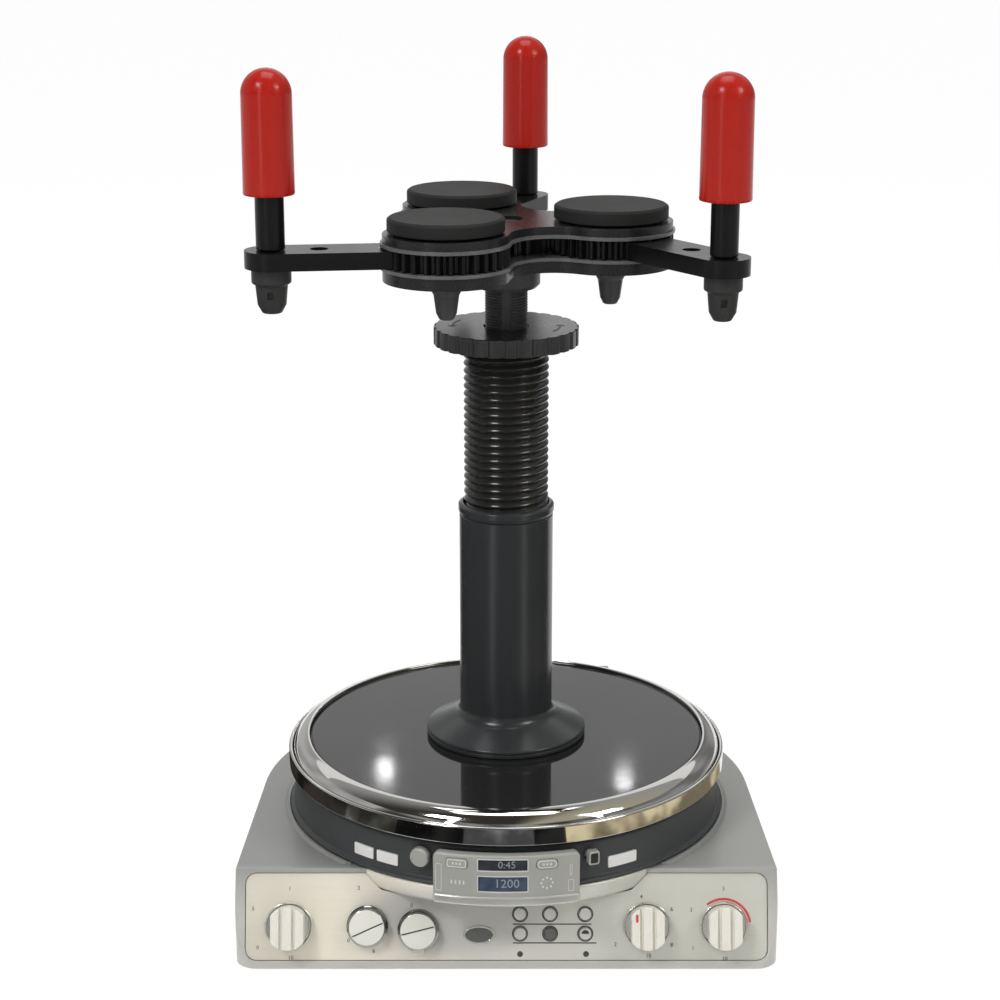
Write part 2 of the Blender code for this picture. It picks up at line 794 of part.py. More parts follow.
def make_controls(panel):
    places = knob_places()
    for number, place in enumerate(places, 1):
        frame = empty(f"knob_{number}_axis", panel, (*place, FASCIA_FACE))
        if number in (2, 3):
            make_round_knob(number, frame)
        else:
            make_bar_knob(number, frame)

    spindle_room = rods(
        "spindle_room",
        places,
        SPINDLE_RADIUS + RUNNING,
        BOARD_FACE - BOARD_THICKNESS / 4,
        0,
        SMALL_ROUND,
        None,
        panel,
    )
    pots = rods(
        "pots",
        places,
        POT_RADIUS,
        BOARD_FACE - BOARD_THICKNESS / 2,
        -BASE_WALL - GAP,
        SMALL_ROUND,
        None,
        panel,
    )
    switch_top = FASCIA_FACE - BUTTON_STEM - BUTTON_TRAVEL - GAP
    switches = rods(
        "switches",
        button_places(),
        BUTTON_RADIUS,
        BOARD_FACE - BOARD_THICKNESS / 2,
        switch_top,
        SMALL_ROUND,
        None,
        panel,
    )
    edge = POT_RADIUS + BOARD_MARGIN
    across, slopes = zip(*places)
    outline = rounded_rectangle(
        min(across) - edge,
        max(across) + edge,
        min(slopes) - edge,
        max(slopes) + edge,
        BOARD_MARGIN,
        2,
    )
    mesh = flat_mesh("control_board", [outline], BOARD_FACE - BOARD_THICKNESS, BOARD_FACE)
    board = add("control_board", mesh, "green_board", panel)
    join(board, pots, switches)
    cut(board, spindle_room)

    collar_top = -BASE_WALL - GAP - FASCIA_FACE
    profile = [
        (0, BUTTON_PROUD),
        (BUTTON_RADIUS * 0.8, BUTTON_PROUD),
        (BUTTON_RADIUS, BUTTON_PROUD * 0.6),
        (BUTTON_RADIUS, collar_top),
        (BUTTON_RADIUS + BUTTON_COLLAR, collar_top),
        (BUTTON_RADIUS + BUTTON_COLLAR, -BUTTON_STEM),
        (0, -BUTTON_STEM),
    ]
    for number, (x, slope) in enumerate(button_places(), 1):
        at = (x, slope, FASCIA_FACE)
        turned(f"button_{number}", profile, SMALL_ROUND, "silver_plastic", panel, at)


def make_bar_knob(number, frame):
    """A round skirt with a broad ribbed grip across it."""
    profile = [
        (0, KNOB_SKIRT),
        (KNOB_RADIUS - KNOB_EDGE, KNOB_SKIRT),
        (KNOB_RADIUS, KNOB_SKIRT - KNOB_EDGE),
        (KNOB_RADIUS, GAP),
        (SPINDLE_RADIUS, GAP),
        (SPINDLE_RADIUS, -SPINDLE_LENGTH),
        (0, -SPINDLE_LENGTH),
    ]
    knob = turned(f"knob_{number}", profile, MIDDLE_ROUND, "cream_plastic", frame)
    turn = math.acos(GRIP_BAR_WIDTH / 2 / GRIP_BAR_RADIUS)
    outline = arc((0, 0), GRIP_BAR_RADIUS, turn, math.pi - turn, 6)
    outline += arc((0, 0), GRIP_BAR_RADIUS, math.pi + turn, math.tau - turn, 6)
    grip_low = KNOB_SKIRT - GRIP_BAR_SINK
    mesh = flat_mesh(f"knob_{number}_grip", [outline], grip_low, GRIP_BAR_HEIGHT)
    join(knob, add(f"knob_{number}_grip", mesh, None, frame))
    half = GRIP_GROOVE_WIDTH / 2
    for groove in range(1, GRIP_RIBS):
        x = GRIP_BAR_WIDTH * (groove / GRIP_RIBS - 1 / 2)
        slot = block(
            f"knob_{number}_groove_{groove}",
            (x - half, -KNOB_RADIUS, GRIP_BAR_HEIGHT - GRIP_GROOVE_DEPTH),
            (x + half, KNOB_RADIUS, GRIP_BAR_HEIGHT + GRIP_GROOVE_DEPTH),
            None,
            frame,
        )
        cut(knob, slot)


def make_round_knob(number, frame):
    profile = [
        (0, ROUND_KNOB_HEIGHT),
        (ROUND_KNOB_RADIUS - 2 * ROUND_KNOB_EDGE, ROUND_KNOB_HEIGHT),
        (ROUND_KNOB_RADIUS - ROUND_KNOB_EDGE, ROUND_KNOB_HEIGHT - KNOB_EDGE),
        (ROUND_KNOB_RADIUS - KNOB_EDGE, KNOB_SKIRT),
        (ROUND_KNOB_RADIUS, KNOB_SKIRT - KNOB_EDGE),
        (ROUND_KNOB_RADIUS, GAP),
        (SPINDLE_RADIUS, GAP),
        (SPINDLE_RADIUS, -SPINDLE_LENGTH),
        (0, -SPINDLE_LENGTH),
    ]
    knob = turned(f"knob_{number}", profile, MIDDLE_ROUND, "cream_plastic", frame)
    if number == 3:
        half = POINTER_WIDTH / 2
        inside = ROUND_KNOB_RADIUS - 2 * half
        tip = half / 2
        outline = [
            (-half, -inside),
            (-tip, -POINTER_REACH),
            (tip, -POINTER_REACH),
            (half, -inside),
        ]
        mesh = flat_mesh("pointer", [outline], 2 * GAP, KNOB_SKIRT - GAP)
        join(knob, add("pointer", mesh, None, frame))


# Drum, pod and drive


def radial_turn(angle):
    """Turns a piece's Z axis to point outwards at this angle from the front, with its Y axis up."""
    return (math.pi / 2, 0, angle)


def make_drum(root):
    inner = DRUM_TOP_RADIUS - DRUM_WALL
    mouth = CRANK_PIN_RADIUS + ECCENTRICITY + 4 * RUNNING
    profile = [
        (mouth, DRUM_TOP),
        (DRUM_TOP_RADIUS - DRUM_SHOULDER, DRUM_TOP),
        (DRUM_TOP_RADIUS, DRUM_TOP - DRUM_SHOULDER),
        (DRUM_RADIUS, DRUM_Z + 2 * DRUM_BEAD_HEIGHT),
        (DRUM_FOOT_RADIUS, DRUM_Z + DRUM_BEAD_HEIGHT),
        (DRUM_FOOT_RADIUS, DRUM_Z),
        (inner, DRUM_Z),
        (inner, DRUM_TOP - DRUM_WALL),
        (mouth, DRUM_TOP - DRUM_WALL),
    ]
    cover = turned("drum_cover", profile, LARGE_ROUND, "charcoal_paint", root)
    idler_mouths = rods(
        "idler_mouths",
        [polar(IDLER_CIRCLE, angle) for angle in IDLER_ANGLES],
        SHAFT_RADIUS + ECCENTRICITY + 4 * RUNNING,
        DRUM_TOP - 2 * DRUM_WALL,
        DRUM_TOP + DRUM_WALL,
        SMALL_ROUND,
        None,
        root,
    )
    cut(cover, idler_mouths)
    make_side_buttons(root, cover, inner)

    holes = [circle((0, 0), SHAFT_RADIUS + RUNNING, SMALL_ROUND)]
    for angle in IDLER_ANGLES:
        holes.append(circle(polar(IDLER_CIRCLE, angle), SHAFT_RADIUS + RUNNING, SMALL_ROUND))
    edge = circle((0, 0), IDLER_CIRCLE + BEARING_PLATE_MARGIN, MIDDLE_ROUND)
    mesh = flat_mesh("bearing_plate", [edge, *holes], DRUM_Z, BEARING_TOP)
    add("bearing_plate", mesh, "plain_steel", root)


def make_side_buttons(root, cover, inner):
    """Two push buttons that pass through the drum's wall, one each side of the pod."""
    height = DECK_Z + SIDE_BUTTON_RISE
    head_back = DRUM_RADIUS + SIDE_BUTTON_TRAVEL + GAP
    head_front = head_back + SIDE_BUTTON_HEAD
    stem = START_RADIUS / 2
    collar = inner - GAP - DRUM_WALL * 0.3
    stem_end = collar - 2 * SIDE_BUTTON_TRAVEL
    profile = [
        (0, head_front),
        (START_RADIUS - SIDE_BUTTON_EDGE, head_front),
        (START_RADIUS, head_front - SIDE_BUTTON_EDGE),
        (START_RADIUS, head_back),
        (stem, head_back),
        (stem, collar),
        (stem + BUTTON_COLLAR, collar),
        (stem + BUTTON_COLLAR, stem_end),
        (0, stem_end),
    ]
    at = (0, 0, height)
    left, right = radial_turn(-SIDE_BUTTON_ANGLE), radial_turn(SIDE_BUTTON_ANGLE)
    turned("start_button", profile, SMALL_ROUND, "silver_plastic", root, at, left)

    collar_profile = [(0, head_back + GAP)] + profile[4:]
    collar_profile[1] = (stem, head_back + GAP)
    stop = turned("stop_button", collar_profile, SMALL_ROUND, "dark_plastic", root, at, right)
    outline = rounded_rectangle(
        -STOP_WIDTH / 2, STOP_WIDTH / 2, -STOP_HEIGHT / 2, STOP_HEIGHT / 2, STOP_CORNER, 3
    )
    mesh = flat_mesh("stop_head", [outline], head_back, head_front)
    join(stop, add("stop_head", mesh, None, root, at, right))
    hole = [
        (0, head_front),
        (stem + RUNNING, head_front),
        (stem + RUNNING, stem_end),
        (0, stem_end),
    ]
    cut(
        cover,
        turned("start_hole", hole, SMALL_ROUND, None, root, at, left),
        turned("stop_hole", hole, SMALL_ROUND, None, root, at, right),
    )


def make_pod(root):
    top = POD_Z + POD_HEIGHT
    pod = front_sector(
        "display_pod",
        POD_INNER,
        POD_OUTER,
        POD_Z,
        top,
        POD_HALF_ANGLE,
        POD_FACETS,
        "silver_plastic",
        root,
    )
    round_edges(pod, POD_EDGE, 1, 60)
    skin = POD_OUTER - POD_WALL
    wall_angle = POD_WALL / POD_OUTER
    pocket = front_sector(
        "pod_pocket",
        POD_INNER - POD_WALL,
        skin,
        POD_Z + POD_WALL,
        top - POD_WALL,
        POD_HALF_ANGLE - wall_angle,
        POD_FACETS,
        None,
        root,
    )
    cut(pod, pocket)

    lcd_front = POD_INNER + LCD_THICKNESS
    lcd = front_sector(
        "lcd_module",
        POD_INNER,
        lcd_front,
        POD_Z + POD_WALL + GAP,
        top - POD_WALL - GAP,
        POD_HALF_ANGLE - wall_angle - GAP / POD_INNER,
        POD_FACETS,
        "display_glass",
        root,
    )
    for name, (low, high) in (("upper_window", UPPER_WINDOW), ("lower_window", LOWER_WINDOW)):
        half = WINDOW_HALF_WIDTH
        room = block(
            f"{name}_room",
            (WINDOW_X - half - GAP, -POD_OUTER - POD_WALL, POD_Z + low - GAP),
            (WINDOW_X + half + GAP, -skin + POD_WALL, POD_Z + high + GAP),
            None,
            root,
        )
        glass = block(
            name,
            (WINDOW_X - half, -POD_OUTER + WINDOW_RECESS, POD_Z + low),
            (WINDOW_X + half, -POD_INNER - LCD_THICKNESS / 2, POD_Z + high),
            None,
            root,
        )
        cut(pod, room)
        join(lcd, glass)

    for name, angle, corner in zip(("left", "right"), KEY_ANGLES, (KEY_CORNER, KEY_HEIGHT / 2)):
        make_pod_key(root, pod, name, angle, corner, skin)


def make_pod_key(root, pod, name, angle, corner, skin):
    """A key with a flange behind the pod's skin."""

    def outline(growth):
        half_width, half_height = KEY_WIDTH / 2 + growth, KEY_HEIGHT / 2 + growth
        radius = min(corner + growth, half_height * 0.98)
        return rounded_rectangle(-half_width, half_width, -half_height, half_height, radius, 3)

    at, turn = (0, 0, POD_Z + KEY_RISE), radial_turn(angle)
    flange_half = KEY_WIDTH / 2 + KEY_FLANGE
    flat_skin = skin * math.cos(POD_HALF_ANGLE / POD_FACETS)
    flange_front = math.sqrt(flat_skin**2 - flange_half**2) - GAP
    flange_back = flange_front - KEY_FLANGE
    key = add(
        f"pod_key_{name}",
        flat_mesh(f"pod_key_{name}", [outline(0)], flange_back, POD_OUTER + KEY_PROUD),
        "silver_plastic",
        root,
        at,
        turn,
    )
    flange = flat_mesh(f"key_{name}_flange", [outline(KEY_FLANGE)], flange_back, flange_front)
    join(key, add(f"key_{name}_flange", flange, None, root, at, turn))
    hole = flat_mesh(f"key_{name}_hole", [outline(RUNNING)], skin - POD_WALL, POD_OUTER + POD_WALL)
    cut(pod, add(f"key_{name}_hole", hole, None, root, at, turn))


def make_drive(root, crank_axis):
    motor_top = DECK_Z - BASE_WALL - GAP
    motor_low = FLOOR_PLATE_TOP + MOTOR_LIFT
    shaft_end = motor_top - MOTOR_GRIP
    socket_radius = SHAFT_RADIUS + RUNNING
    turned(
        "motor",
        [
            (socket_radius, motor_top),
            (MOTOR_RADIUS - MOTOR_EDGE, motor_top),
            (MOTOR_RADIUS, motor_top - MOTOR_EDGE),
            (MOTOR_RADIUS, motor_low + MOTOR_EDGE),
            (MOTOR_RADIUS - MOTOR_EDGE, motor_low),
            (socket_radius, motor_low),
        ],
        MIDDLE_ROUND,
        "plain_steel",
        root,
    )
    crank = turned(
        "eccentric_crank",
        [
            (0, WEB_TOP),
            (CRANK_WEB_RADIUS, WEB_TOP),
            (CRANK_WEB_RADIUS, WEB_Z),
            (SHAFT_RADIUS, WEB_Z),
            (SHAFT_RADIUS, shaft_end),
            (0, shaft_end),
        ],
        SMALL_ROUND,
        "plain_steel",
        crank_axis,
    )
    pin_place = [(0, -ECCENTRICITY)]
    pin_z = WEB_Z + PIN_ROOT
    pin = rods(
        "crank_pin", pin_place, CRANK_PIN_RADIUS, pin_z, PIN_TOP, SMALL_ROUND, None, crank_axis
    )
    weight_outline = arc((0, 0), COUNTERWEIGHT_RADIUS, *COUNTERWEIGHT_ANGLES, SMALL_ROUND)
    weight_mesh = flat_mesh("counterweight", [weight_outline + [(0, 0)]], WEB_Z, WEB_TOP - GAP)
    join(crank, pin, add("counterweight", weight_mesh, None, crank_axis))

    for number, angle in enumerate(IDLER_ANGLES, 1):
        x, y = polar(IDLER_CIRCLE, angle)
        axis = empty(f"idler_{number}_axis", root, (x, y, 0))
        idler = turned(
            f"idler_crank_{number}",
            [
                (0, WEB_TOP),
                (IDLER_WEB_RADIUS, WEB_TOP),
                (IDLER_WEB_RADIUS, WEB_Z),
                (SHAFT_RADIUS, WEB_Z),
                (SHAFT_RADIUS, DRUM_Z),
                (0, DRUM_Z),
            ],
            SMALL_ROUND,
            "plain_steel",
            axis,
        )
        idler_pin = rods(
            f"idler_{number}_pin", pin_place, SHAFT_RADIUS, pin_z, PIN_TOP, SMALL_ROUND, None, axis
        )
        join(idler, idler_pin)


def make_inlet(root):
    low = (INLET_X - INLET_WIDTH / 2, INLET_Y, DECK_Z + GAP)
    high = (INLET_X + INLET_WIDTH / 2, INLET_Y + INLET_DEPTH, DECK_Z + GAP + INLET_HEIGHT)
    inlet = block("power_inlet", low, high, "grey_paint", root)
    round_edges(inlet, INLET_EDGE, 1)
    outline = rounded_rectangle(
        -SOCKET_WIDTH / 2,
        SOCKET_WIDTH / 2,
        -SOCKET_HEIGHT / 2,
        SOCKET_HEIGHT / 2,
        SOCKET_CORNER,
        3,
    )
    back = INLET_Y + INLET_DEPTH
    mesh = flat_mesh("socket", [outline], back - SOCKET_DEPTH, back + SOCKET_DEPTH)
    middle = (INLET_X, 0, DECK_Z + GAP + INLET_HEIGHT / 2)
    cut(inlet, add("socket", mesh, None, root, middle, radial_turn(math.pi)))


# Platform and column


def make_platform(platter):
    boss_radius = CRANK_PIN_RADIUS + RUNNING + BOSS_WALL
    disc = turned(
        "platter_disc",
        [
            (0, PLATTER_TOP),
            (PLATTER_RADIUS - PLATTER_CROWN * 2, PLATTER_TOP),
            (PLATTER_RADIUS, PLATTER_TOP - PLATTER_CROWN),
            (PLATTER_RADIUS, PLATTER_Z + PLATTER_FLANGE),
            (RIM_RADIUS - RIM_WALL - GAP, PLATTER_Z + PLATTER_FLANGE),
            (RIM_RADIUS - RIM_WALL - GAP, PLATTER_Z),
            (boss_radius, PLATTER_Z),
            (boss_radius, BOSS_Z),
            (0, BOSS_Z),
        ],
        LARGE_ROUND,
        "platform_coat",
        platter,
    )
    idler_places = [polar(IDLER_CIRCLE, angle) for angle in IDLER_ANGLES]
    bosses = rods(
        "idler_bosses",
        idler_places,
        SHAFT_RADIUS + RUNNING + BOSS_WALL,
        BOSS_Z,
        PLATTER_Z + PLATTER_FLANGE / 2,
        SMALL_ROUND,
        None,
        platter,
    )
    crank_bore = rods(
        "crank_bore",
        [(0, 0)],
        CRANK_PIN_RADIUS + RUNNING,
        BOSS_Z - BOSS_HEIGHT,
        PIN_TOP + GAP,
        SMALL_ROUND,
        None,
        platter,
    )
    idler_bores = rods(
        "idler_bores",
        idler_places,
        SHAFT_RADIUS + RUNNING,
        BOSS_Z - BOSS_HEIGHT,
        PIN_TOP + GAP,
        SMALL_ROUND,
        None,
        platter,
    )
    join(disc, bosses)
    cut(disc, crank_bore, idler_bores)

    band_low = PLATTER_TOP - RIM_BELOW_TOP
    band_top = band_low + RIM_BAND
    bead_top = PLATTER_TOP - RIM_BEAD_DROP
    groove = bead_top - RIM_GROOVE
    inner = PLATTER_RADIUS + GAP
    seat = PLATTER_Z + PLATTER_FLANGE + GAP
    turned(
        "rim_ring",
        [
            (inner + RIM_BEAD * 0.3, bead_top),
            (inner + RIM_BEAD * 0.7, bead_top),
            (inner + RIM_BEAD, groove),
            (RIM_RADIUS - RIM_WALL, groove),
            (RIM_RADIUS, band_top),
            (RIM_RADIUS, band_low),
            (RIM_RADIUS - RIM_WALL, band_low),
            (RIM_RADIUS - RIM_WALL, seat),
            (inner, seat),
            (inner, groove),
        ],
        LARGE_ROUND,
        "chrome",
        platter,
    )


def make_column(platter):
    rim_top = FLANGE_Z + FLANGE_RIM
    slope_top = rim_top + FLANGE_RISE
    fillet_centre = (COLUMN_RADIUS + COLUMN_FILLET, slope_top + COLUMN_FILLET)
    fillet = arc(fillet_centre, COLUMN_FILLET, math.pi, math.pi * 4 / 3, 2)
    turned(
        "column_tube",
        [
            (0, FLANGE_Z + COLUMN_FLOOR),
            (BORE_RADIUS, FLANGE_Z + COLUMN_FLOOR),
            (BORE_RADIUS, COLUMN_TOP),
            (COLUMN_RADIUS, COLUMN_TOP),
            *fillet,
            (FLANGE_RADIUS - FLANGE_EDGE, rim_top),
            (FLANGE_RADIUS, rim_top - FLANGE_EDGE),
            (FLANGE_RADIUS, FLANGE_Z),
            (0, FLANGE_Z),
        ],
        COLUMN_ROUND,
        "blue_black_paint",
        platter,
    )
    lip = COLUMN_RADIUS + COLLAR_LIP
    turned(
        "guide_collar",
        [
            (BORE_RADIUS, COLLAR_TOP),
            (lip - COLLAR_EDGE, COLLAR_TOP),
            (lip, COLLAR_TOP - COLLAR_EDGE),
            (lip, COLLAR_Z),
            (BORE_RADIUS, COLLAR_Z),
        ],
        COLUMN_ROUND,
        "blue_black_paint",
        platter,
    )


def make_screw(screw):
    root_radius = SCREW_RADIUS - SCREW_DEPTH
    mesh = thread_mesh(
        "screw_sleeve", SCREW_RADIUS, root_radius, SCREW_PITCH, THREAD_Z, SCREW_TOP, THREAD_ROUND
    )
    sleeve = add("screw_sleeve", mesh, "black_anodised", screw)
    spigot = rods(
        "spigot",
        [(0, 0)],
        SPIGOT_RADIUS,
        SPIGOT_Z,
        THREAD_Z + SCREW_PITCH,
        MIDDLE_ROUND,
        None,
        screw,
    )
    bore = rods(
        "sleeve_bore",
        [(0, 0)],
        NECK_RADIUS + RUNNING,
        SPIGOT_Z + SPIGOT_FLOOR,
        SCREW_TOP + GAP,
        MIDDLE_ROUND,
        None,
        screw,
    )
    join(sleeve, spigot)
    cut(sleeve, bore)

    pitch = math.tau / DISC_NOTCHES
    outline = []
    for notch in range(DISC_NOTCHES):
        start = notch * pitch
        land, notch_start, notch_end = (start + share * pitch for share in DISC_NOTCH_SHARES)
        outline += [polar(DISC_RADIUS, start), polar(DISC_RADIUS, land)]
        outline += [polar(DISC_RADIUS - DISC_NOTCH_DEPTH, a) for a in (notch_start, notch_end)]
    hole = circle((0, 0), NECK_RADIUS + RUNNING, MIDDLE_ROUND)
    mesh = flat_mesh("adjusting_disc", [outline, hole], DISC_Z, DISC_TOP)
    add("adjusting_disc", mesh, "black_anodised", screw)


# Clamp head


def make_head(head):
    collar_z = BOTTOM_PLATE_Z - GAP - NECK_COLLAR_HEIGHT
    collar_top = BOTTOM_PLATE_Z - GAP
    journal_top = TOP_PLATE_TOP - TOP_PLATE_THICKNESS / 3
    shaft = turned(
        "head_shaft",
        [
            (0, journal_top),
            (JOURNAL_RADIUS, journal_top),
            (JOURNAL_RADIUS, collar_top),
            (NECK_COLLAR_RADIUS, collar_top),
            (NECK_COLLAR_RADIUS, collar_z + NECK_COLLAR_EDGE),
            (NECK_COLLAR_RADIUS - NECK_COLLAR_EDGE, collar_z),
            (NECK_RADIUS, collar_z),
            (NECK_RADIUS, NECK_Z),
            (0, NECK_Z),
        ],
        MIDDLE_ROUND,
        "black_anodised",
        head,
    )
    keyway = block(
        "keyway",
        (-KEYWAY_WIDTH / 2, -2 * NECK_RADIUS, NECK_Z - GAP),
        (KEYWAY_WIDTH / 2, KEYWAY_DEPTH - NECK_RADIUS, collar_z),
        None,
        head,
    )
    cut(shaft, keyway)

    lobes = [polar(LOBE_DISTANCE, LOBE_ANGLE + arm * math.tau / 3) for arm in range(3)]
    pin_holes = [circle(place, PIVOT_RADIUS + GAP, SMALL_ROUND) for place in lobes]
    shaft_hole = circle((0, 0), JOURNAL_RADIUS + GAP, MIDDLE_ROUND)
    outlines = [clover_outline(), *pin_holes, shaft_hole]
    for name, low, high in (
        ("head_bottom_plate", BOTTOM_PLATE_Z, BOTTOM_PLATE_TOP),
        ("head_top_plate", TOP_PLATE_Z, TOP_PLATE_TOP),
    ):
        add(name, flat_mesh(name, outlines, low, high), "black_anodised", head)

    sun_hole = circle((0, 0), JOURNAL_RADIUS + RUNNING, MIDDLE_ROUND)
    teeth = gear_outline(SUN_TEETH, LOBE_ANGLE)
    mesh = flat_mesh("sun_gear", [teeth, sun_hole], HUB_Z, HUB_Z + HUB_THICKNESS)
    add("sun_gear", mesh, "black_anodised", empty("sun_axis", head))

    for arm in range(3):
        towards = LOBE_ANGLE + arm * math.tau / 3
        at = (*polar(LOBE_DISTANCE, towards), 0)
        make_lobe(arm + 1, empty(f"lobe_{arm + 1}", head, at))
        swing = empty(f"arm_{arm + 1}_axis", head, at, (0, 0, towards - ARM_LEAD))
        make_arm(arm + 1, swing)


def make_lobe(number, lobe):
    nub_top = BOTTOM_PLATE_Z - GAP
    nub_low = BOTTOM_PLATE_Z - NUB_LENGTH
    turned(
        f"arm_pivot_{number}",
        [
            (0, TOP_PLATE_TOP),
            (PIVOT_RADIUS, TOP_PLATE_TOP),
            (PIVOT_RADIUS, nub_top),
            (NUB_RADIUS, nub_top),
            (NUB_RADIUS, nub_top - NUB_LENGTH * 0.3),
            (NUB_TIP_RADIUS, nub_low + NUB_LENGTH * 0.18),
            (NUB_TIP_RADIUS - NUB_TIP_EDGE, nub_low),
            (0, nub_low),
        ],
        SMALL_ROUND,
        "black_anodised",
        lobe,
    )
    step_top = PAD_Z + PAD_STEP
    pad_top = step_top + PAD_THICKNESS
    turned(
        f"pad_{number}",
        [
            (0, pad_top),
            (PAD_RADIUS - PAD_EDGE, pad_top),
            (PAD_RADIUS, pad_top - PAD_EDGE),
            (PAD_RADIUS, step_top),
            (PAD_RADIUS - PAD_STEP_INSET, step_top),
            (PAD_RADIUS - PAD_STEP_INSET, PAD_Z),
            (0, PAD_Z),
        ],
        MIDDLE_ROUND,
        "black_rubber",
        lobe,
    )


def make_arm(number, swing):
    sun_side = math.pi + ARM_LEAD
    half_tooth = math.pi / HUB_TEETH
    hub = flat_mesh(
        f"arm_{number}_hub",
        [
            gear_outline(HUB_TEETH, sun_side + half_tooth),
            circle((0, 0), PIVOT_RADIUS + RUNNING, SMALL_ROUND),
        ],
        HUB_Z,
        HUB_Z + HUB_THICKNESS,
    )
    half = ARM_WIDTH / 2
    start = PIVOT_RADIUS + half
    bar_outline = [(start, half), (start, -half)] + arc(
        (ARM_LENGTH, 0), half, -math.pi / 2, math.pi / 2, 10
    )
    tenon_hole = circle((ARM_LENGTH, 0), POST_TENON_RADIUS + GAP, SMALL_ROUND)
    spare_hole = circle((ARM_LENGTH - SPARE_HOLE_PITCH, 0), SPARE_HOLE_RADIUS, SMALL_ROUND)
    bar = flat_mesh(f"arm_{number}", [bar_outline, tenon_hole, spare_hole], HUB_Z, ARM_TOP)
    arm = add(f"arm_{number}", bar, "black_anodised", swing)
    join(arm, add(f"arm_{number}_hub", hub, None, swing))

    at = (ARM_LENGTH, 0, 0)
    nut_low = NUT_TOP - NUT_LENGTH
    turned(
        f"post_{number}",
        [
            (0, GRIP_Z + POST_IN_GRIP),
            (POST_RADIUS, GRIP_Z + POST_IN_GRIP),
            (POST_RADIUS, POST_Z),
            (POST_TENON_RADIUS, POST_Z),
            (POST_TENON_RADIUS, nut_low + NUT_FLOOR + GAP),
            (0, nut_low + NUT_FLOOR + GAP),
        ],
        SMALL_ROUND,
        "black_anodised",
        swing,
        at,
    )
    grip_top = GRIP_Z + GRIP_LENGTH
    dome_z = grip_top - GRIP_RADIUS
    dome = arc((0, dome_z), GRIP_RADIUS, math.pi / 2, 0, 4)
    dome[0] = (0, grip_top)
    turned(
        f"grip_{number}",
        [
            *dome,
            (GRIP_RADIUS + GRIP_FLARE, GRIP_Z + GRIP_EDGE),
            (GRIP_RADIUS + GRIP_FLARE - GRIP_EDGE, GRIP_Z),
            (POST_RADIUS + GAP, GRIP_Z),
            (POST_RADIUS + GAP, GRIP_Z + POST_IN_GRIP + GAP),
            (0, GRIP_Z + POST_IN_GRIP + GAP),
        ],
        MIDDLE_ROUND,
        "red_vinyl",
        swing,
        at,
    )
    turned(
        f"end_nut_{number}",
        [
            (0, nut_low + NUT_FLOOR),
            (POST_TENON_RADIUS + GAP, nut_low + NUT_FLOOR),
            (POST_TENON_RADIUS + GAP, NUT_TOP),
            (NUT_COLLAR_RADIUS, NUT_TOP),
            (NUT_COLLAR_RADIUS, NUT_TOP - NUT_COLLAR_HEIGHT),
            (NUT_RADIUS, NUT_TOP - NUT_COLLAR_HEIGHT - NUT_EDGE),
            (NUT_RADIUS - NUT_EDGE, nut_low + NUT_TIP),
            (NUT_RADIUS - NUT_TIP, nut_low),
            (0, nut_low),
        ],
        SMALL_ROUND,
        "charcoal_paint",
        swing,
        at,
    )


# Build

for old in list(bpy.data.objects):
    bpy.data.objects.remove(old, do_unlink=True)
PARTS = new_collection("vortex_mixer")
CUTTERS = new_collection("cutters")
make_finishes()

ROOT = empty("mixer", None)
PANEL = empty(
    "panel", ROOT, (0, BASE_FRONT_Y, PANEL_FOOT_Z), (math.pi / 2 - PANEL_TILT, 0, 0)
)
CRANK = empty("crank_axis", ROOT)
PLATTER = empty("platter_axis", CRANK, (0, -ECCENTRICITY, 0))
HEAD = empty("head_axis", PLATTER)
SCREW = empty("screw_axis", HEAD)

make_base(ROOT, PANEL)
make_fascia(ROOT, PANEL)
make_controls(PANEL)
make_drum(ROOT)
make_pod(ROOT)
make_drive(ROOT, CRANK)
make_inlet(ROOT)
make_platform(PLATTER)
make_column(PLATTER)
make_screw(SCREW)
make_head(HEAD)
bpy.context.view_layer.update()
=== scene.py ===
"""A benchtop vortex mixer dressed round its CAD frame: a grey control base, an orbiting platform
with a chrome rim, a screw column and a self-centring clamp head.

Metres, +Z up, and -Y is the front. Places come from the frame's nodes, and finer sizes stand here."""

import math

import bmesh
import bpy
from mathutils import Matrix, Vector


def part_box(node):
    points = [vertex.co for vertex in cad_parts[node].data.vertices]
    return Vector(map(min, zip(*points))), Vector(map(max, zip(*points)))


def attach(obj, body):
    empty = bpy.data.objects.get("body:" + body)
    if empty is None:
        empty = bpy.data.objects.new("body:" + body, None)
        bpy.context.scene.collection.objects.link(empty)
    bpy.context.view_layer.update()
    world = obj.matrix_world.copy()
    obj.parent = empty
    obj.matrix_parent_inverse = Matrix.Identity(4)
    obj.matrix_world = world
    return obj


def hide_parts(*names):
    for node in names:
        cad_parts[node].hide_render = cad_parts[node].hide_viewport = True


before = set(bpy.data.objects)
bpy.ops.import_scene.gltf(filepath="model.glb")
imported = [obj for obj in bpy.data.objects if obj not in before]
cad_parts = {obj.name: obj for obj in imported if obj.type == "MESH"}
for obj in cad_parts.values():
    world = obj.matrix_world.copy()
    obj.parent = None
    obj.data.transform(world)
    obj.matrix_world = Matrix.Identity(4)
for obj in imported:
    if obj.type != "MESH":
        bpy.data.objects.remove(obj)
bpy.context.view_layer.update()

# Camera at the photograph's viewing angle
CAMERA_PLACE = (-0.00345, -1.20265, 0.58682)
CAMERA_PITCH = math.radians(16.434)
CAMERA_LENS = 80.35

# Facets, gaps and edges
MERGE = 0.00001
LARGE_ROUND = 160
ROUND = 72
SMALL_ROUND = 32
SHARP = math.radians(38)
BEVELLED = math.radians(30)
GAP = 0.0003
PRINT = 0.00012
SLICE = 0.0016

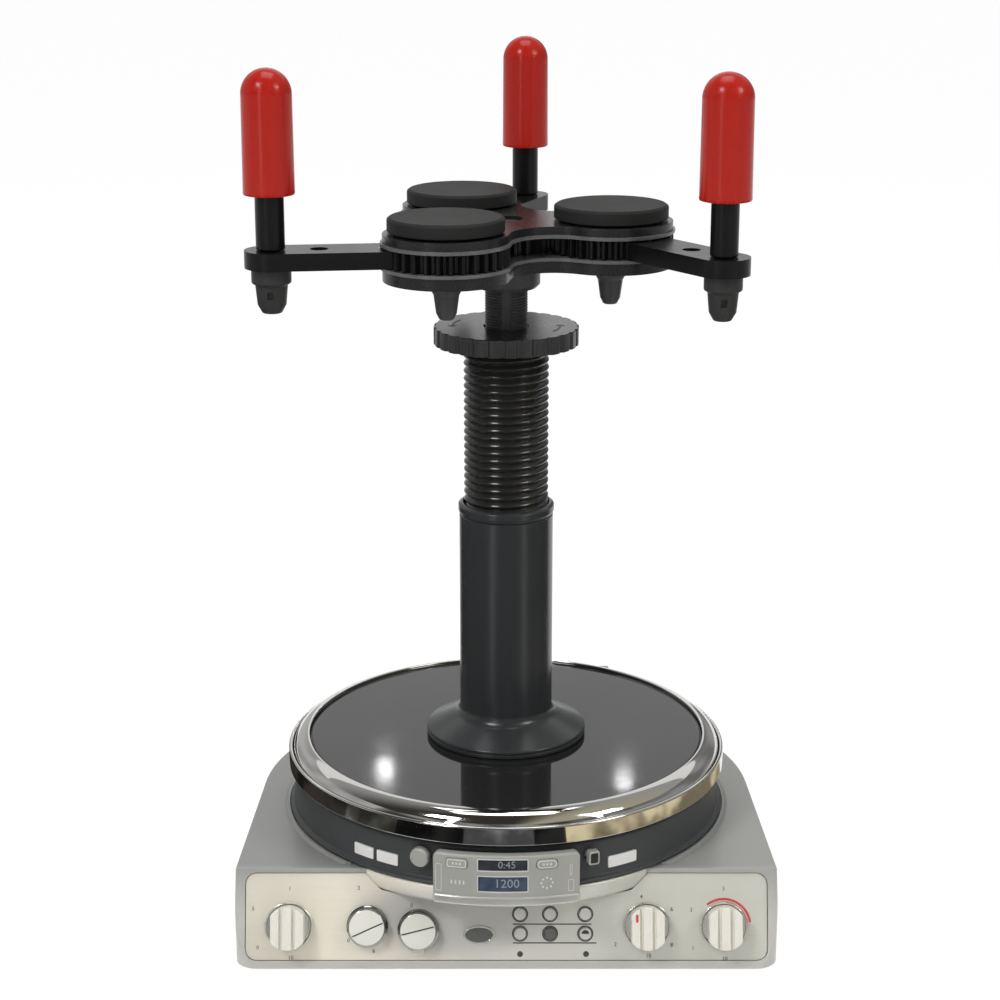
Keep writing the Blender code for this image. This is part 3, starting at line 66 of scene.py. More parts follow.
# Base housing and front panel
BASE_FRONT = -0.1151
BASE_REAR_CENTRE = 0.015
BASE_TAPER = math.radians(2.3)
BASE_CORNER = 0.012
BASE_WALL = 0.004
BASE_EDGE = 0.0042
PANEL_FOOT = 0.0015
PANEL_TILT = math.radians(20)
PANEL_LENGTH = 0.0538
PANEL_TOP_Y = BASE_FRONT + PANEL_LENGTH * math.sin(PANEL_TILT)
FASCIA_FRAME = 0.0062
FASCIA_FOOT = 0.0044
FASCIA_HEAD = 0.0026
FASCIA_CORNER = 0.006
FASCIA_THICKNESS = 0.0012
FASCIA_FACE = -0.001
RECESS_DEPTH = 0.009
BROW_LIP = 0.011
BROW_CONE_DROP = 0.0066
BROW_TAPER = 0.0036
BROW_CONE_RUN = 0.0149
BROW_ROOT = 0.009
BROW_EDGE = 0.0022
DECK_RING_WIDTH = 0.0034
DECK_RING_HEIGHT = 0.0016

# Knobs and buttons
KNOB_SLOPE = 0.0227
THIRD_KNOB_DROP = 0.002
KNOB_SKIRT_HEIGHT = 0.0026
KNOB_SKIRT_EDGE = 0.0007
KNOB_WELL_DEPTH = 0.0012
KNOB_WELL_EDGE = 0.0004
KNOB_GRIP_RADIUS = 0.0116
KNOB_GRIP_HALF = 0.0090
KNOB_GRIP_SINK = 0.001
KNOB_GRIP_HEIGHT = 0.0142
KNOB_GRIP_EDGE = 0.0015
KNOB_GROOVES = (-0.0034, 0.0034)
KNOB_GROOVE_WIDTH = 0.0022
KNOB_GROOVE_DEPTH = 0.0020
POINTER_BOX = (-0.0066, -0.0052, 0.0035, 0.0078)
TAB_BOX = (-0.0030, 0.0030, -0.0134, -0.0090)
TAB_CORNER = 0.0016
TAB_TOP = 0.0022
SPINDLE_RADIUS = 0.003
SPINDLE_END = -0.006
SPINDLE = [(0, SPINDLE_END), (SPINDLE_RADIUS, SPINDLE_END), (SPINDLE_RADIUS, GAP)]
ROUND_KNOB_HEIGHT = 0.0085
ROUND_KNOB_FACE = 0.0095
ROUND_KNOB_STEP = 0.0020
INDEX_LINES = {2: (math.radians(24), -0.0012), 3: (math.radians(14), 0.0004)}
BUTTON_RADIUS = 0.0033
BUTTON_PROUD = 0.0012
BUTTON_EDGE = 0.0005
BUTTON_STEM = 0.004
BUTTON_ROWS = (0.0291, 0.0186)

# Panel print: each knob's figures with their places from its axis
KNOB_MARKS = {
    1: (("5", -0.0195, 0.0093), ("0", -0.0170, -0.0117), ("10", 0.0010, -0.0170), ("1", 0.0003, 0.0200)),
    2: (("0", -0.0102, -0.0079), ("6", 0.0035, -0.0134), ("2", -0.0047, 0.0204)),
    3: (("0", -0.0037, 0.0130), ("4", -0.0016, -0.0177)),
    4: (("4", -0.0028, 0.0157), ("6", 0.0136, 0.0089), ("8", 0.0136, -0.0102), ("10", 0.0010, -0.0160),
        ("2", -0.0170, -0.0099)),
    5: (("3", -0.0176, 0.0086), ("1", -0.0167, -0.0120), ("10", 0.0006, -0.0176), ("3", 0.0, 0.0200)),
}
MARK_SIZE = 0.0030
LINE_WIDTH = 0.0006
PANEL_LINES = ((0.0035, 0.0462, 0.0237), (0.0035, 0.0490, 0.0136))
PANEL_LAMPS = ((0.0074, 0.0076), (0.0432, 0.0076))
PANEL_LAMP_RADIUS = 0.0016
OVAL_PLACE = (-0.0148, 0.0180)
OVAL_HALF = (0.0085, 0.0048)
OVAL_OPENING = (0.88, 0.82)
BEZEL_WIDTH = 0.0006
RED_SCALE = (0.0139, 0.0151, math.radians(8), math.radians(128))

# Display pod
POD_HALF = 0.0398
POD_CORNER = 0.003
POD_EDGE = 0.0011
POD_DEPTH = 0.0056
POD_LIP_HEIGHT = 0.0052
POD_LIP_PROUD = 0.0009
POD_LIP_LAP = 0.0002
WINDOW_MIDDLE = -0.002
WINDOW_HALF = 0.0131
WINDOW_DEPTH = 0.0009
# Name, lower and upper edge, finish, figures and their size
DISPLAYS = (
    ("upper", 0.0204, 0.0266, "display_grey", "0:45", 0.0056),
    ("lower", 0.0084, 0.0169, "display_blue", "1200", 0.0068),
)
WINDOW_RIM = 0.0005
FIGURES_SHIFT = 0.0022
POD_BARS = (-0.0294, 0.0128)
POD_BAR_PITCH = 0.0022
POD_BAR_HALF = (0.0004, 0.0012)
POD_DIAL = (0.0215, 0.0128)
POD_DIAL_RADIUS = 0.0030
POD_DIAL_DOTS = 8
POD_DOT_RADIUS = 0.0006
# Left, right, lower and upper edge of the frames printed at the pod's ends
POD_FRAMES = (
    (-0.0382, -0.0348, 0.0068, 0.0225),
    (0.0330, 0.0362, 0.0068, 0.0135),
    (0.0338, 0.0352, 0.0160, 0.0225),
)
POD_FRAME_LINE = 0.0003
KEY_ANGLES = {"left": math.radians(-11.6), "right": math.radians(9.4)}
KEY_RISE = 0.0238
KEY_WIDTH = 0.0112
KEY_HEIGHT = 0.0052
KEY_PROUD = 0.0006
KEY_DEPTH = 0.0016
KEY_BAR_PITCH = 0.0019
KEY_BAR_HALF = (0.0005, 0.0007)
KEY_LINE = (-0.0004, -0.0009)
SIDE_BUTTON_ANGLE = math.radians(21.4)
SIDE_BUTTON_BACK = 0.1241
SIDE_BUTTON_FRONT = 0.1283
SIDE_STEM_END = 0.1158
SIDE_STEM_RADIUS = 0.0027
START_RADIUS = 0.0054
STOP_HALF = (0.0031, 0.0039)
STOP_BORDER = 0.001
STOP_INSET = 0.0004

# Drum, mains inlet, platform and column
DRUM_RADIUS = 0.1228
DRUM_TOP_RADIUS = 0.1215
DRUM_WALL = 0.0035
DRUM_SHOULDER = 0.003
DRUM_LIFT = 0.0012
LABELS = ((-0.0835, 0.0135), (-0.0675, 0.0135), (0.0655, 0.0180))
LABEL_RISE = 0.0098
LABEL_HALF = 0.0032
SOCKET_HALF = (0.00725, 0.011)
SOCKET_DEPTH = 0.012
BLADE_PLACES = ((-0.0035, -0.0045), (0.0035, -0.0045), (0.0, 0.0045))
BLADE_HALF = (0.001, 0.002)
BLADE_SINK = 0.003
PIN_ROOM = 0.0095
IDLER_ROOM = 0.0085
PLATTER_RADIUS = 0.1127
PLATTER_WEB = 0.0042
PLATTER_FLANGE = 0.004
PLATTER_BORDER = 0.003
PLATTER_EDGE = (0.0008, 0.0006)
BOSS_RADIUS = 0.0105
BORE_RADIUS = 0.0055
IDLER_SLIM = 0.001
IDLER_LAP = 0.002
RIM_WALL = 0.0036
RIM_RISE = 0.003
RIM_BEAD = 0.0005
RIM_SLOPE_RADIUS = 0.01062
RIM_SLOPE_ENDS = (math.radians(84), math.radians(10))
RIM_BAND = 0.0106
RIM_ROLL = 0.0011
RIM_FOOT = 0.0008
FLANGE_RIM = 0.0050
FLANGE_ROLL = 0.0013
FLANGE_GROOVE = 0.0006
FLANGE_SLOPE = math.radians(25)
COLUMN_RADIUS = 0.02625
COLUMN_FILLET = 0.0066
COLUMN_BORE = 0.02415
COLUMN_FLOOR = 0.003
COLUMN_EDGE = 0.0006
RIB_DEPTH = 0.0017
RIB_PITCH = 0.0043
RIB_STEPS = 40
RIB_POINTS = 6
RIB_SHAPE = 0.7
SPIGOT_RADIUS = 0.0215
SPIGOT_LENGTH = 0.030
DISC_NOTCHES = 28
DISC_NOTCH_DEPTH = 0.0011
ARROW_PLACE = 0.74
ARROW_START = math.radians(150)
ARROW_SWEEP = 0.5
ARROW_TIP = 0.12
ARROW_HALF = 0.0007
ARROW_TIP_HALF = 0.0024
NECK_RADIUS = 0.0118
NECK_ROOM = 0.0006
NECK_THREAD_PITCH = 0.0015
NECK_THREAD_DEPTH = 0.0006
NECK_THREAD_START = 0.004
NECK_SHOULDER = 0.001
NECK_COLLAR_HEIGHT = 0.0125
NECK_COLLAR_BEVEL = 0.0022
KEYWAY_WIDTH = 0.0052
KEYWAY_DEPTH = 0.0014

# Clamp head
LOBE_RADIUS = 0.0346
LOBE_WAIST = 0.035
LIP_HEIGHT = 0.0018
LIP_REACH = 0.0012
PAD_FOOT = 0.0009
PAD_FOOT_INSET = 0.003
PAD_DISH = 0.0002
PIVOT_RADIUS = 0.0055
NUB_SKIRT = 0.0062
JOURNAL_RADIUS = 0.009
HUB_TEETH = 32
SUN_TEETH = 24
ADDENDUM = 0.7
DEDENDUM = 0.95
BACKLASH = 0.0005
FLANK = math.radians(22)
ARM_WIDTH = 0.0276
ARM_EDGE = 0.0007
ARM_STEP = 0.0006
SPARE_HOLE_RADIUS = 0.0048
SPARE_HOLE_PITCH = 0.025
TENON_RADIUS = 0.005
NUT_FLOOR = 0.003
NUT_SKIRT = 0.0076
NUT_WAIST = 0.0019
NUT_TIP = 0.0045
NUT_WINDOW = (0.0016, 0.0020)
NUT_WINDOW_RISE = 0.0102


# Camera


def linked(thing):
    bpy.context.scene.collection.objects.link(thing)
    return thing


camera = linked(bpy.data.objects.new("camera", bpy.data.cameras.new("camera")))
camera.data.lens = CAMERA_LENS
camera.location = CAMERA_PLACE
camera.rotation_euler = (math.pi / 2 - CAMERA_PITCH, 0, 0)
bpy.context.scene.camera = camera


# Places from the frame


def middle(node):
    low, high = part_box(node)
    return (low + high) / 2


def heights(node):
    low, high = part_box(node)
    return low.z, high.z


def radius_of(node):
    low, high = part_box(node)
    return (high.x - low.x) / 2


DECK = heights("base_housing")[1]
BASE_REAR_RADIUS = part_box("base_housing")[1].y - BASE_REAR_CENTRE
DRUM_FOOT_RADIUS = radius_of("drum_cover")
BROW_RADIUS = -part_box("base_housing")[0].y
POD_RADIUS = -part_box("display_pod")[0].y
POD_FOOT, POD_TOP = heights("display_pod")
AXIS = Matrix.Translation((middle("rim_ring").x, middle("rim_ring").y, 0))
PANEL = Matrix.Translation((0, BASE_FRONT, PANEL_FOOT)) @ Matrix.Rotation(
    math.pi / 2 - PANEL_TILT, 4, "X"
)


# Finishes

# Painted light on the front panel: broad tones across it stand in for reflections, and a darker patch is
# painted shade
PANEL_SPAN = 0.30
PANEL_PAINTED_LIGHT_TONES = (
    (-0.130, (0.72, 0.68, 0.57)),
    (-0.085, (0.88, 0.82, 0.69)),
    (-0.015, (0.68, 0.66, 0.60)),
    (0.090, (0.61, 0.61, 0.54)),
)
PANEL_LINE_TONE = (0.40, 0.39, 0.36)
PANEL_PAINTED_SHADE = (0.53, 0.52, 0.49)
PANEL_PAINTED_SHADE_PLACE = (-0.025, 0.028)
PANEL_PAINTED_SHADE_SIZE = (0.055, 0.020)
LIP_BLUR = 0.0003


class Shade:
    """A node tree, or one of its sockets: arithmetic on a socket adds Math nodes."""

    def __init__(self, tree, socket=None):
        self.tree = tree
        self.socket = socket

    def node(self, kind, settings, inputs, output=0):
        made = self.tree.nodes.new("ShaderNode" + kind)
        for name, value in settings.items():
            if name == "stops":
                for place, _ in value[2:]:
                    made.color_ramp.elements.new(place)
                for stop, (place, colour) in zip(made.color_ramp.elements, value):
                    stop.position = place
                    stop.color = colour
            else:
                setattr(made, name, value)
        for name, value in inputs.items():
            if isinstance(value, Shade):
                self.tree.links.new(value.socket, made.inputs[name])
            else:
                made.inputs[name].default_value = value
        return Shade(self.tree, made.outputs[output] if len(made.outputs) else None)

    def maths(self, operation, first, second):
        return self.node("Math", {"operation": operation}, {0: first, 1: second})

    def __add__(self, other):
        return self.maths("ADD", self, other)

    def __sub__(self, other):
        return self.maths("SUBTRACT", self, other)

    def __rsub__(self, other):
        return self.maths("SUBTRACT", other, self)

    def __mul__(self, other):
        return self.maths("MULTIPLY", self, other)

    __radd__ = __add__
    __rmul__ = __mul__

    def between(self, low, high):
        """0 below low, 1 above high and smooth between."""
        settings = {"interpolation_type": "SMOOTHSTEP", "clamp": True}
        return self.node("MapRange", settings, {"Value": self, 1: low, 2: high})


def grey(tone):
    return tone, tone, tone


def noise(shade, scale, detail=2.0, stretch=(1, 1, 1)):
    """Grain of about 1 / scale metres, stretched along the axes."""
    where = shade.node("TexCoord", {}, {}, "Object")
    place = shade.node("Mapping", {}, {"Vector": where, "Scale": stretch})
    return shade.node("TexNoise", {}, {"Vector": place, "Scale": scale, "Detail": detail})


def along(shade, axis):
    """The place along X, Y or Z."""
    where = shade.node("TexCoord", {}, {}, "Object")
    return shade.node("SeparateXYZ", {}, {"Vector": where}, axis)


def blended(shade, factor, first, second):
    """A colour between two colours."""
    inputs = {0: factor}
    for socket, colour in ((6, first), (7, second)):
        inputs[socket] = colour if isinstance(colour, Shade) else (*colour, 1)
    return shade.node("Mix", {"data_type": "RGBA"}, inputs, 2)


def bumped(shade, height, strength, distance):
    return shade.node("Bump", {}, {"Height": height, "Strength": strength, "Distance": distance})


def shaded(owner, output, surface):
    """Gives a material or world the shader that surface(shade) makes."""
    owner.use_nodes = True
    owner.node_tree.nodes.clear()
    shade = Shade(owner.node_tree)
    shade.node(output, {}, {"Surface": surface(shade)})
    return owner


def coated(name, build):
    """A material whose Principled inputs come from build(shade)."""
    return shaded(bpy.data.materials.new(name), "OutputMaterial",
                  lambda shade: shade.node("BsdfPrincipled", {}, build(shade)))


def moulded(dark, light, roughness, gloss=0.4, grain=1800, bump=0.06, metallic=0.0):
    """A moulded or painted finish: faint mottling, uneven gloss and a fine grain."""

    def build(shade):
        mottle = noise(shade, 35, 4)
        fine = noise(shade, grain, 2)
        return {
            "Base Color": blended(shade, mottle * 0.6 + fine * 0.4, dark, light),
            "Roughness": roughness - 0.05 + mottle * 0.1,
            "Normal": bumped(shade, fine, bump, 0.0002),
            "Specular IOR Level": gloss,
            "Metallic": metallic,
        }

    return build


def framed_with_painted_light(dark, light, front):
    """Metallic grey paint with painted light: paler on the housing's front frame as a painted highlight,
    and paler towards the right side as painted light.
    """

    def build(shade):
        inputs = moulded(dark, light, 0.34, 0.3, metallic=0.1)(shade)
        # Painted highlight: the front frame paler than the deck
        near = 1 - along(shade, "Y").between(BASE_FRONT + 0.008, BASE_FRONT + 0.024)
        # Painted light: the right side paler than the left
        side = along(shade, "X").between(-0.12, 0.12)
        deck = blended(shade, side * 0.16, inputs["Base Color"], front)
        inputs["Base Color"] = blended(shade, near, deck, front)
        return inputs

    return build


def brushed_with_painted_light(tones, roughness, metallic):
    """Satin sheet metal with fine lines along the panel, broad tones of painted reflection across it and a
    darker patch of painted shade.
    """

    def build(shade):
        lines = noise(shade, 900, 3, (0.02, 1, 1))
        cloud = noise(shade, 9, 3)
        share = along(shade, "X") * (1 / PANEL_SPAN) + 0.5 + (cloud - 0.5) * 0.2
        stops = [(x / PANEL_SPAN + 0.5, (*colour, 1)) for x, colour in tones]
        tone = shade.node("ValToRGB", {"stops": stops}, {"Fac": share})
        # Painted shade: a soft darker patch on the panel
        side = (along(shade, "X") - PANEL_PAINTED_SHADE_PLACE[0]) * (1 / PANEL_PAINTED_SHADE_SIZE[0])
        rise = (along(shade, "Z") - PANEL_PAINTED_SHADE_PLACE[1]) * (1 / PANEL_PAINTED_SHADE_SIZE[1])
        painted_shade = 1 - (side * side + rise * rise + cloud - 0.5).between(0.2, 1.4)
        sheet = blended(shade, painted_shade, tone, PANEL_PAINTED_SHADE)
        return {
            "Base Color": blended(shade, lines * 0.16, sheet, PANEL_LINE_TONE),
            "Roughness": roughness + lines * 0.12,
            "Normal": bumped(shade, lines, 0.05, 0.0001),
            "Metallic": metallic,
        }

    return build


def polished(colour, roughness, smear):
    """Bright plating with faint wiping marks."""

    def build(shade):
        marks = noise(shade, 60, 5, (1, 1, 0.2))
        return {
            "Base Color": (*colour, 1),
            "Metallic": 1.0,
            "Roughness": roughness + marks.between(0.45, 0.75) * smear,
        }

    return build


def lipped(low, high):
    """Black anodised metal with a paler lip between two heights, a painted highlight that is uneven along
    the lip.
    """

    def build(shade):
        height = along(shade, "Z")
        grain = noise(shade, 1500, 3)
        # Painted highlight on the lip
        painted_lip_highlight = height.between(low - LIP_BLUR, low) * (1 - height.between(high, high + LIP_BLUR))
        painted_lip_highlight = painted_lip_highlight * (0.4 + noise(shade, 120, 4) * 0.7)
        return {
            "Base Color": blended(shade, painted_lip_highlight, grey(0.014), (0.130, 0.132, 0.132)),
            "Roughness": 0.22 + grain * 0.12,
            "Normal": bumped(shade, grain, 0.04, 0.0002),
            "Specular IOR Level": 0.25,
        }

    return build


def display(dark, light):
    """A liquid crystal display behind glass."""

    def build(shade):
        cloud = noise(shade, 160, 3)
        return {
            "Base Color": blended(shade, cloud.between(0.3, 0.7), dark, light),
            "Roughness": 0.10 + noise(shade, 400, 2) * 0.06,
            "Coat Weight": 0.3,
        }

    return build


def make_finishes():
    lower_lip_top = heights("head_bottom_plate")[1]
    upper_lip_low = heights("head_top_plate")[0]
    builds = {
        "grey_paint": moulded((0.232, 0.233, 0.223), (0.280, 0.281, 0.269), 0.34, 0.3, metallic=0.1),
        # The housing's paint, with a painted highlight on its front frame and painted light on its right
        # side
        "housing_paint_painted_light": framed_with_painted_light((0.238, 0.239, 0.229), (0.286, 0.287, 0.275), (0.52, 0.51, 0.48)),
        # The panel's steel, with painted reflections across it and a patch of painted shade
        "panel_steel_painted_light": brushed_with_painted_light(PANEL_PAINTED_LIGHT_TONES, 0.30, 0.1),
        "cream_plastic": moulded((0.70, 0.68, 0.60), (0.78, 0.76, 0.68), 0.28, 0.4, 2500, 0.03),
        "knob_face": moulded((0.68, 0.67, 0.60), (0.76, 0.75, 0.68), 0.24, 0.45, 2500, 0.03),
        "button_grey": moulded((0.54, 0.54, 0.51), (0.62, 0.62, 0.59), 0.30, 0.4, 2500, 0.03),
        "charcoal_paint": moulded((0.044, 0.048, 0.049), (0.060, 0.064, 0.066), 0.40, 0.25),
        "platform_coat": moulded(grey(0.015), grey(0.018), 0.06, 0.33, 3000, 0.0),
        "rim_chrome": polished((0.60, 0.59, 0.57), 0.05, 0.06),
        "bright_chrome": polished((0.78, 0.78, 0.76), 0.08, 0.08),
        "dark_chrome": polished((0.34, 0.34, 0.33), 0.10, 0.08),
        "column_paint": moulded((0.024, 0.027, 0.028), (0.028, 0.031, 0.032), 0.25, 0.42, 900, 0.0),
        "black_anodised": moulded(grey(0.012), grey(0.019), 0.34, 0.25),
        # A lighter copy of the black for the disc: painted light against the shade under the head
        "disc_black_painted_light": moulded(grey(0.017), grey(0.024), 0.28, 0.5),
        "rib_black": moulded((0.015, 0.015, 0.014), (0.019, 0.019, 0.018), 0.20, 0.42),
        # A lighter copy of the black for the neck and nubs: painted light where the head shades them
        "neck_black_painted_light": moulded(grey(0.050), grey(0.064), 0.36, 0.3),
        # A darker copy of the black for the arms and posts: painted shade where they catch more light
        "arm_coat": moulded(grey(0.003), grey(0.006), 0.30, 0.2),
        # The plates' coats, with a painted highlight on their lips
        "lower_plate_coat": lipped(lower_lip_top - LIP_HEIGHT, lower_lip_top),
        "upper_plate_coat": lipped(upper_lip_low, upper_lip_low + LIP_HEIGHT),
        "pad_rubber": moulded(grey(0.018), (0.025, 0.025, 0.024), 0.56, 0.08, 900, 0.12),
        "foot_rubber": moulded(grey(0.012), grey(0.018), 0.75, 0.25, 900, 0.15),
        "red_vinyl": moulded((0.36, 0.010, 0.004), (0.40, 0.013, 0.006), 0.22, 0.24, 700, 0.03),
        "pod_silver": moulded((0.325, 0.328, 0.298), (0.390, 0.393, 0.358), 0.34, 0.35, 2500, metallic=0.1),
        "lip_silver": moulded((0.52, 0.52, 0.49), (0.60, 0.60, 0.57), 0.24, 0.4, 2500, metallic=0.5),
        "dark_plastic": moulded((0.014, 0.015, 0.016), (0.024, 0.025, 0.026), 0.40, 0.3),
        "nut_grey": moulded(grey(0.024), (0.038, 0.038, 0.037), 0.46, 0.25, 1200, 0.08),
        "oval_grey": moulded((0.080, 0.080, 0.076), (0.170, 0.170, 0.162), 0.34, 0.4, 900, 0.1),
        "display_grey": display((0.024, 0.029, 0.034), (0.040, 0.046, 0.052)),
        "display_blue": display((0.034, 0.052, 0.088), (0.060, 0.084, 0.130)),
        "display_ink": moulded((0.20, 0.22, 0.24), (0.28, 0.30, 0.32), 0.4),
        "dark_print": moulded((0.035, 0.034, 0.032), (0.060, 0.058, 0.055), 0.5),
        "pale_print": moulded((0.55, 0.55, 0.52), (0.66, 0.66, 0.63), 0.45),
        "red_print": moulded((0.55, 0.04, 0.05), (0.66, 0.07, 0.08), 0.4),
        "label_white": moulded((0.66, 0.65, 0.63), (0.76, 0.75, 0.73), 0.45),
        "inner_steel": moulded((0.36, 0.36, 0.37), (0.46, 0.46, 0.47), 0.36, 0.5, 1200, metallic=0.9),
        "board_green": moulded((0.015, 0.12, 0.045), (0.030, 0.18, 0.070), 0.45),
    }
    return {name: coated(name, build) for name, build in builds.items()}


# Outlines


def arc(centre, radius, start, end, steps):
    angles = [start + (end - start) * k / steps for k in range(steps + 1)]
    return [(centre[0] + radius * math.cos(a), centre[1] + radius * math.sin(a)) for a in angles]


def ring(centre, radius, steps=SMALL_ROUND):
    return arc(centre, radius, 0, math.tau, steps)[:-1]


def band(inner, outer, start, end, steps):
    """A stretch of ring round the origin."""
    return arc((0, 0), outer, start, end, steps) + arc((0, 0), inner, end, start, steps)


def rounded_box(left, right, low, high, corner, steps=6):
    corners = (
        (right - corner, high - corner),
        (left + corner, high - corner),
        (left + corner, low + corner),
        (right - corner, low + corner),
    )
    points = []
    for quarter, centre in enumerate(corners):
        start = quarter * math.pi / 2
        points += arc(centre, corner, start, start + math.pi / 2, steps)
    return points


def polar(radius, angle):
    return radius * math.cos(angle), radius * math.sin(angle)


# Shapes


def tidied(shape):
    bmesh.ops.remove_doubles(shape, verts=shape.verts, dist=MERGE)
    bmesh.ops.recalc_face_normals(shape, faces=shape.faces)
    return shape


def soften(shape, width, segments=3):
    """Rounds every sharp edge."""
    sharp = [e for e in shape.edges if len(e.link_faces) == 2 and e.calc_face_angle() > BEVELLED]
    bmesh.ops.bevel(shape, geom=sharp, offset=width, offset_type="OFFSET", affect="EDGES",
                    segments=segments, profile=0.5, clamp_overlap=True, material=-1)
    return shape


def swept(profile, closed, steps, turns=1, rise=0.0):
    """(radius, height) points joined by edges and spun about Z, up by the rise at each step."""
    shape = bmesh.new()
    points = [shape.verts.new((radius, 0, height)) for radius, height in profile]
    for first, second in zip(points, points[1:] + points[:1] if closed else points[1:]):
        shape.edges.new((first, second))
    bmesh.ops.spin(shape, geom=shape.verts[:] + shape.edges[:], cent=(0, 0, 0), axis=(0, 0, 1),
                   dvec=(0, 0, rise), angle=math.tau * turns, steps=steps * turns, use_merge=not rise)
    return shape


def turned(profile, steps=ROUND, edge=0.0):
    """A shape turned about Z from (radius, height) points. One that starts off the axis is a ring."""
    shape = tidied(swept(profile, profile[0][0] != 0, steps))
    return soften(shape, edge) if edge else shape


def rod(radius, low, high, at=(0, 0), steps=SMALL_ROUND):
    return shifted(turned([(0, high), (radius, high), (radius, low), (0, low)], steps), *at)


def threaded(crest, depth, pitch, low, high):
    """A right-hand screw with rounded ribs, cut square at both ends."""
    turns = math.ceil((high - low) / pitch) + 2
    profile = []
    for k in range(RIB_POINTS + 1):
        rise = (1 - math.cos(math.tau * k / RIB_POINTS)) / 2
        profile.append((crest - depth + depth * rise**RIB_SHAPE, low - pitch * (1 - k / RIB_POINTS)))
    shape = swept(profile, False, RIB_STEPS, turns, pitch / RIB_STEPS)
    bmesh.ops.remove_doubles(shape, verts=shape.verts, dist=MERGE)
    clipped(shape, (0, 0, low), (0, 0, -1))
    return clipped(shape, (0, 0, high), (0, 0, 1))


def sliced(shape, place, normal, clear_outer=False):
    bmesh.ops.bisect_plane(shape, geom=shape.verts[:] + shape.edges[:] + shape.faces[:],
                           plane_co=place, plane_no=normal, clear_outer=clear_outer)


def clipped(shape, place, outwards):
    """The shape with all past a plane cut off and the cut closed."""
    sliced(shape, place, outwards, True)
    bmesh.ops.holes_fill(shape, edges=[edge for edge in shape.edges if edge.is_boundary])
    return tidied(shape)


def baked(helper):
    """A helper object's finished mesh as a bmesh. The helper is removed."""
    linked(helper)
    bpy.context.view_layer.update()
    graph = bpy.context.evaluated_depsgraph_get()
    mesh = bpy.data.meshes.new_from_object(helper.evaluated_get(graph))
    shape = bmesh.new()
    shape.from_mesh(mesh)
    bpy.data.objects.remove(helper)
    bpy.data.meshes.remove(mesh)
    return tidied(shape)


def flat(outlines, low, high, edge=0.0):
    """A flat piece: the first outline is its edge, and the others are holes."""
    curve = bpy.data.curves.new("outline", "CURVE")
    curve.dimensions = "2D"
    curve.fill_mode = "BOTH"
    curve.extrude = (high - low) / 2
    for outline in outlines:
        spline = curve.splines.new("POLY")
        spline.points.add(len(outline) - 1)
        for point, (x, y) in zip(spline.points, outline):
            point.co = (x, y, 0, 1)
        spline.use_cyclic_u = True
    shape = shifted(baked(bpy.data.objects.new("outline", curve)), 0, 0, (low + high) / 2)
    bmesh.ops.dissolve_limit(shape, angle_limit=0.005, verts=shape.verts, edges=shape.edges)
    return soften(shape, edge) if edge else shape


def printed(*outlines):
    return flat(outlines, 0, PRINT)


def block(half, tall, corner, low, high, edge=0.0, steps=6):
    """A flat block with round corners, centred."""
    return flat([rounded_box(-half, half, -tall, tall, corner, steps)], low, high, edge)


def numeral(words, size):
    """Plain figures, centred, lying flat."""
    curve = bpy.data.curves.new("figures", "FONT")
    curve.body = words
    curve.size = size
    curve.align_x = "CENTER"
    curve.align_y = "CENTER"
    curve.resolution_u = 3
    curve.extrude = PRINT / 2
    return shifted(baked(bpy.data.objects.new("figures", curve)), 0, 0, PRINT / 2)


def moved(shape, matrix):
    bmesh.ops.transform(shape, matrix=matrix, verts=shape.verts)
    return shape


def shifted(shape, x, y, z=0.0):
    return moved(shape, Matrix.Translation((x, y, z)))


def as_mesh(shape, name):
    mesh = bpy.data.meshes.new(name)
    shape.to_mesh(mesh)
    shape.free()
    return mesh


def gathered(shapes):
    """Separate shapes as one."""
    whole = bmesh.new()
    for shape in shapes:
        mesh = as_mesh(shape, "part")
        whole.from_mesh(mesh)
        bpy.data.meshes.remove(mesh)
    return whole


def as_helper(shape):
    return bpy.data.objects.new("helper", as_mesh(tidied(shape), "helper"))


def carved(shape, *cutters, operation="DIFFERENCE"):
    """The shape with the cutters taken away or, with UNION, joined to it."""
    target = as_helper(shape)
    tools = [linked(as_helper(cutter)) for cutter in cutters]
    for tool in tools:
        modifier = target.modifiers.new("carve", "BOOLEAN")
        modifier.operation = operation
        modifier.solver = "EXACT"
        modifier.object = tool
    made = baked(target)
    for tool in tools:
        bpy.data.objects.remove(tool)
    return made


def wrapped(shape, radius, height):
    """Bends a flat shape round the drum's axis: X runs along the arc, Y up and Z outwards."""
    left = min(vert.co.x for vert in shape.verts)
    right = max(vert.co.x for vert in shape.verts)
    for cut in range(1, math.ceil((right - left) / SLICE)):
        sliced(shape, (left + cut * SLICE, 0, 0), (1, 0, 0))
    for vert in shape.verts:
        across, up, out = vert.co
        angle = across / radius
        reach = radius + out
        vert.co = (reach * math.sin(angle), -reach * math.cos(angle), height + up)
    return shape


def piece(name, shape, finish, body, *nodes, slot=None):
    """Puts a shape in the scene on a body, in place of CAD nodes if any are named."""
    mesh = as_mesh(tidied(shape), name)
    mesh.shade_smooth()
    mesh.set_sharp_from_angle(angle=SHARP)
    mesh.materials.append(FINISHES[finish])
    made = linked(bpy.data.objects.new(name, mesh))
    made.modifiers.new("even_normals", "WEIGHTED_NORMAL").keep_sharp = True
    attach(made, body)
    if nodes:
        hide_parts(*nodes)


# Base


def base_side(rear):
    return rear + BASE_REAR_CENTRE * math.sin(BASE_TAPER)


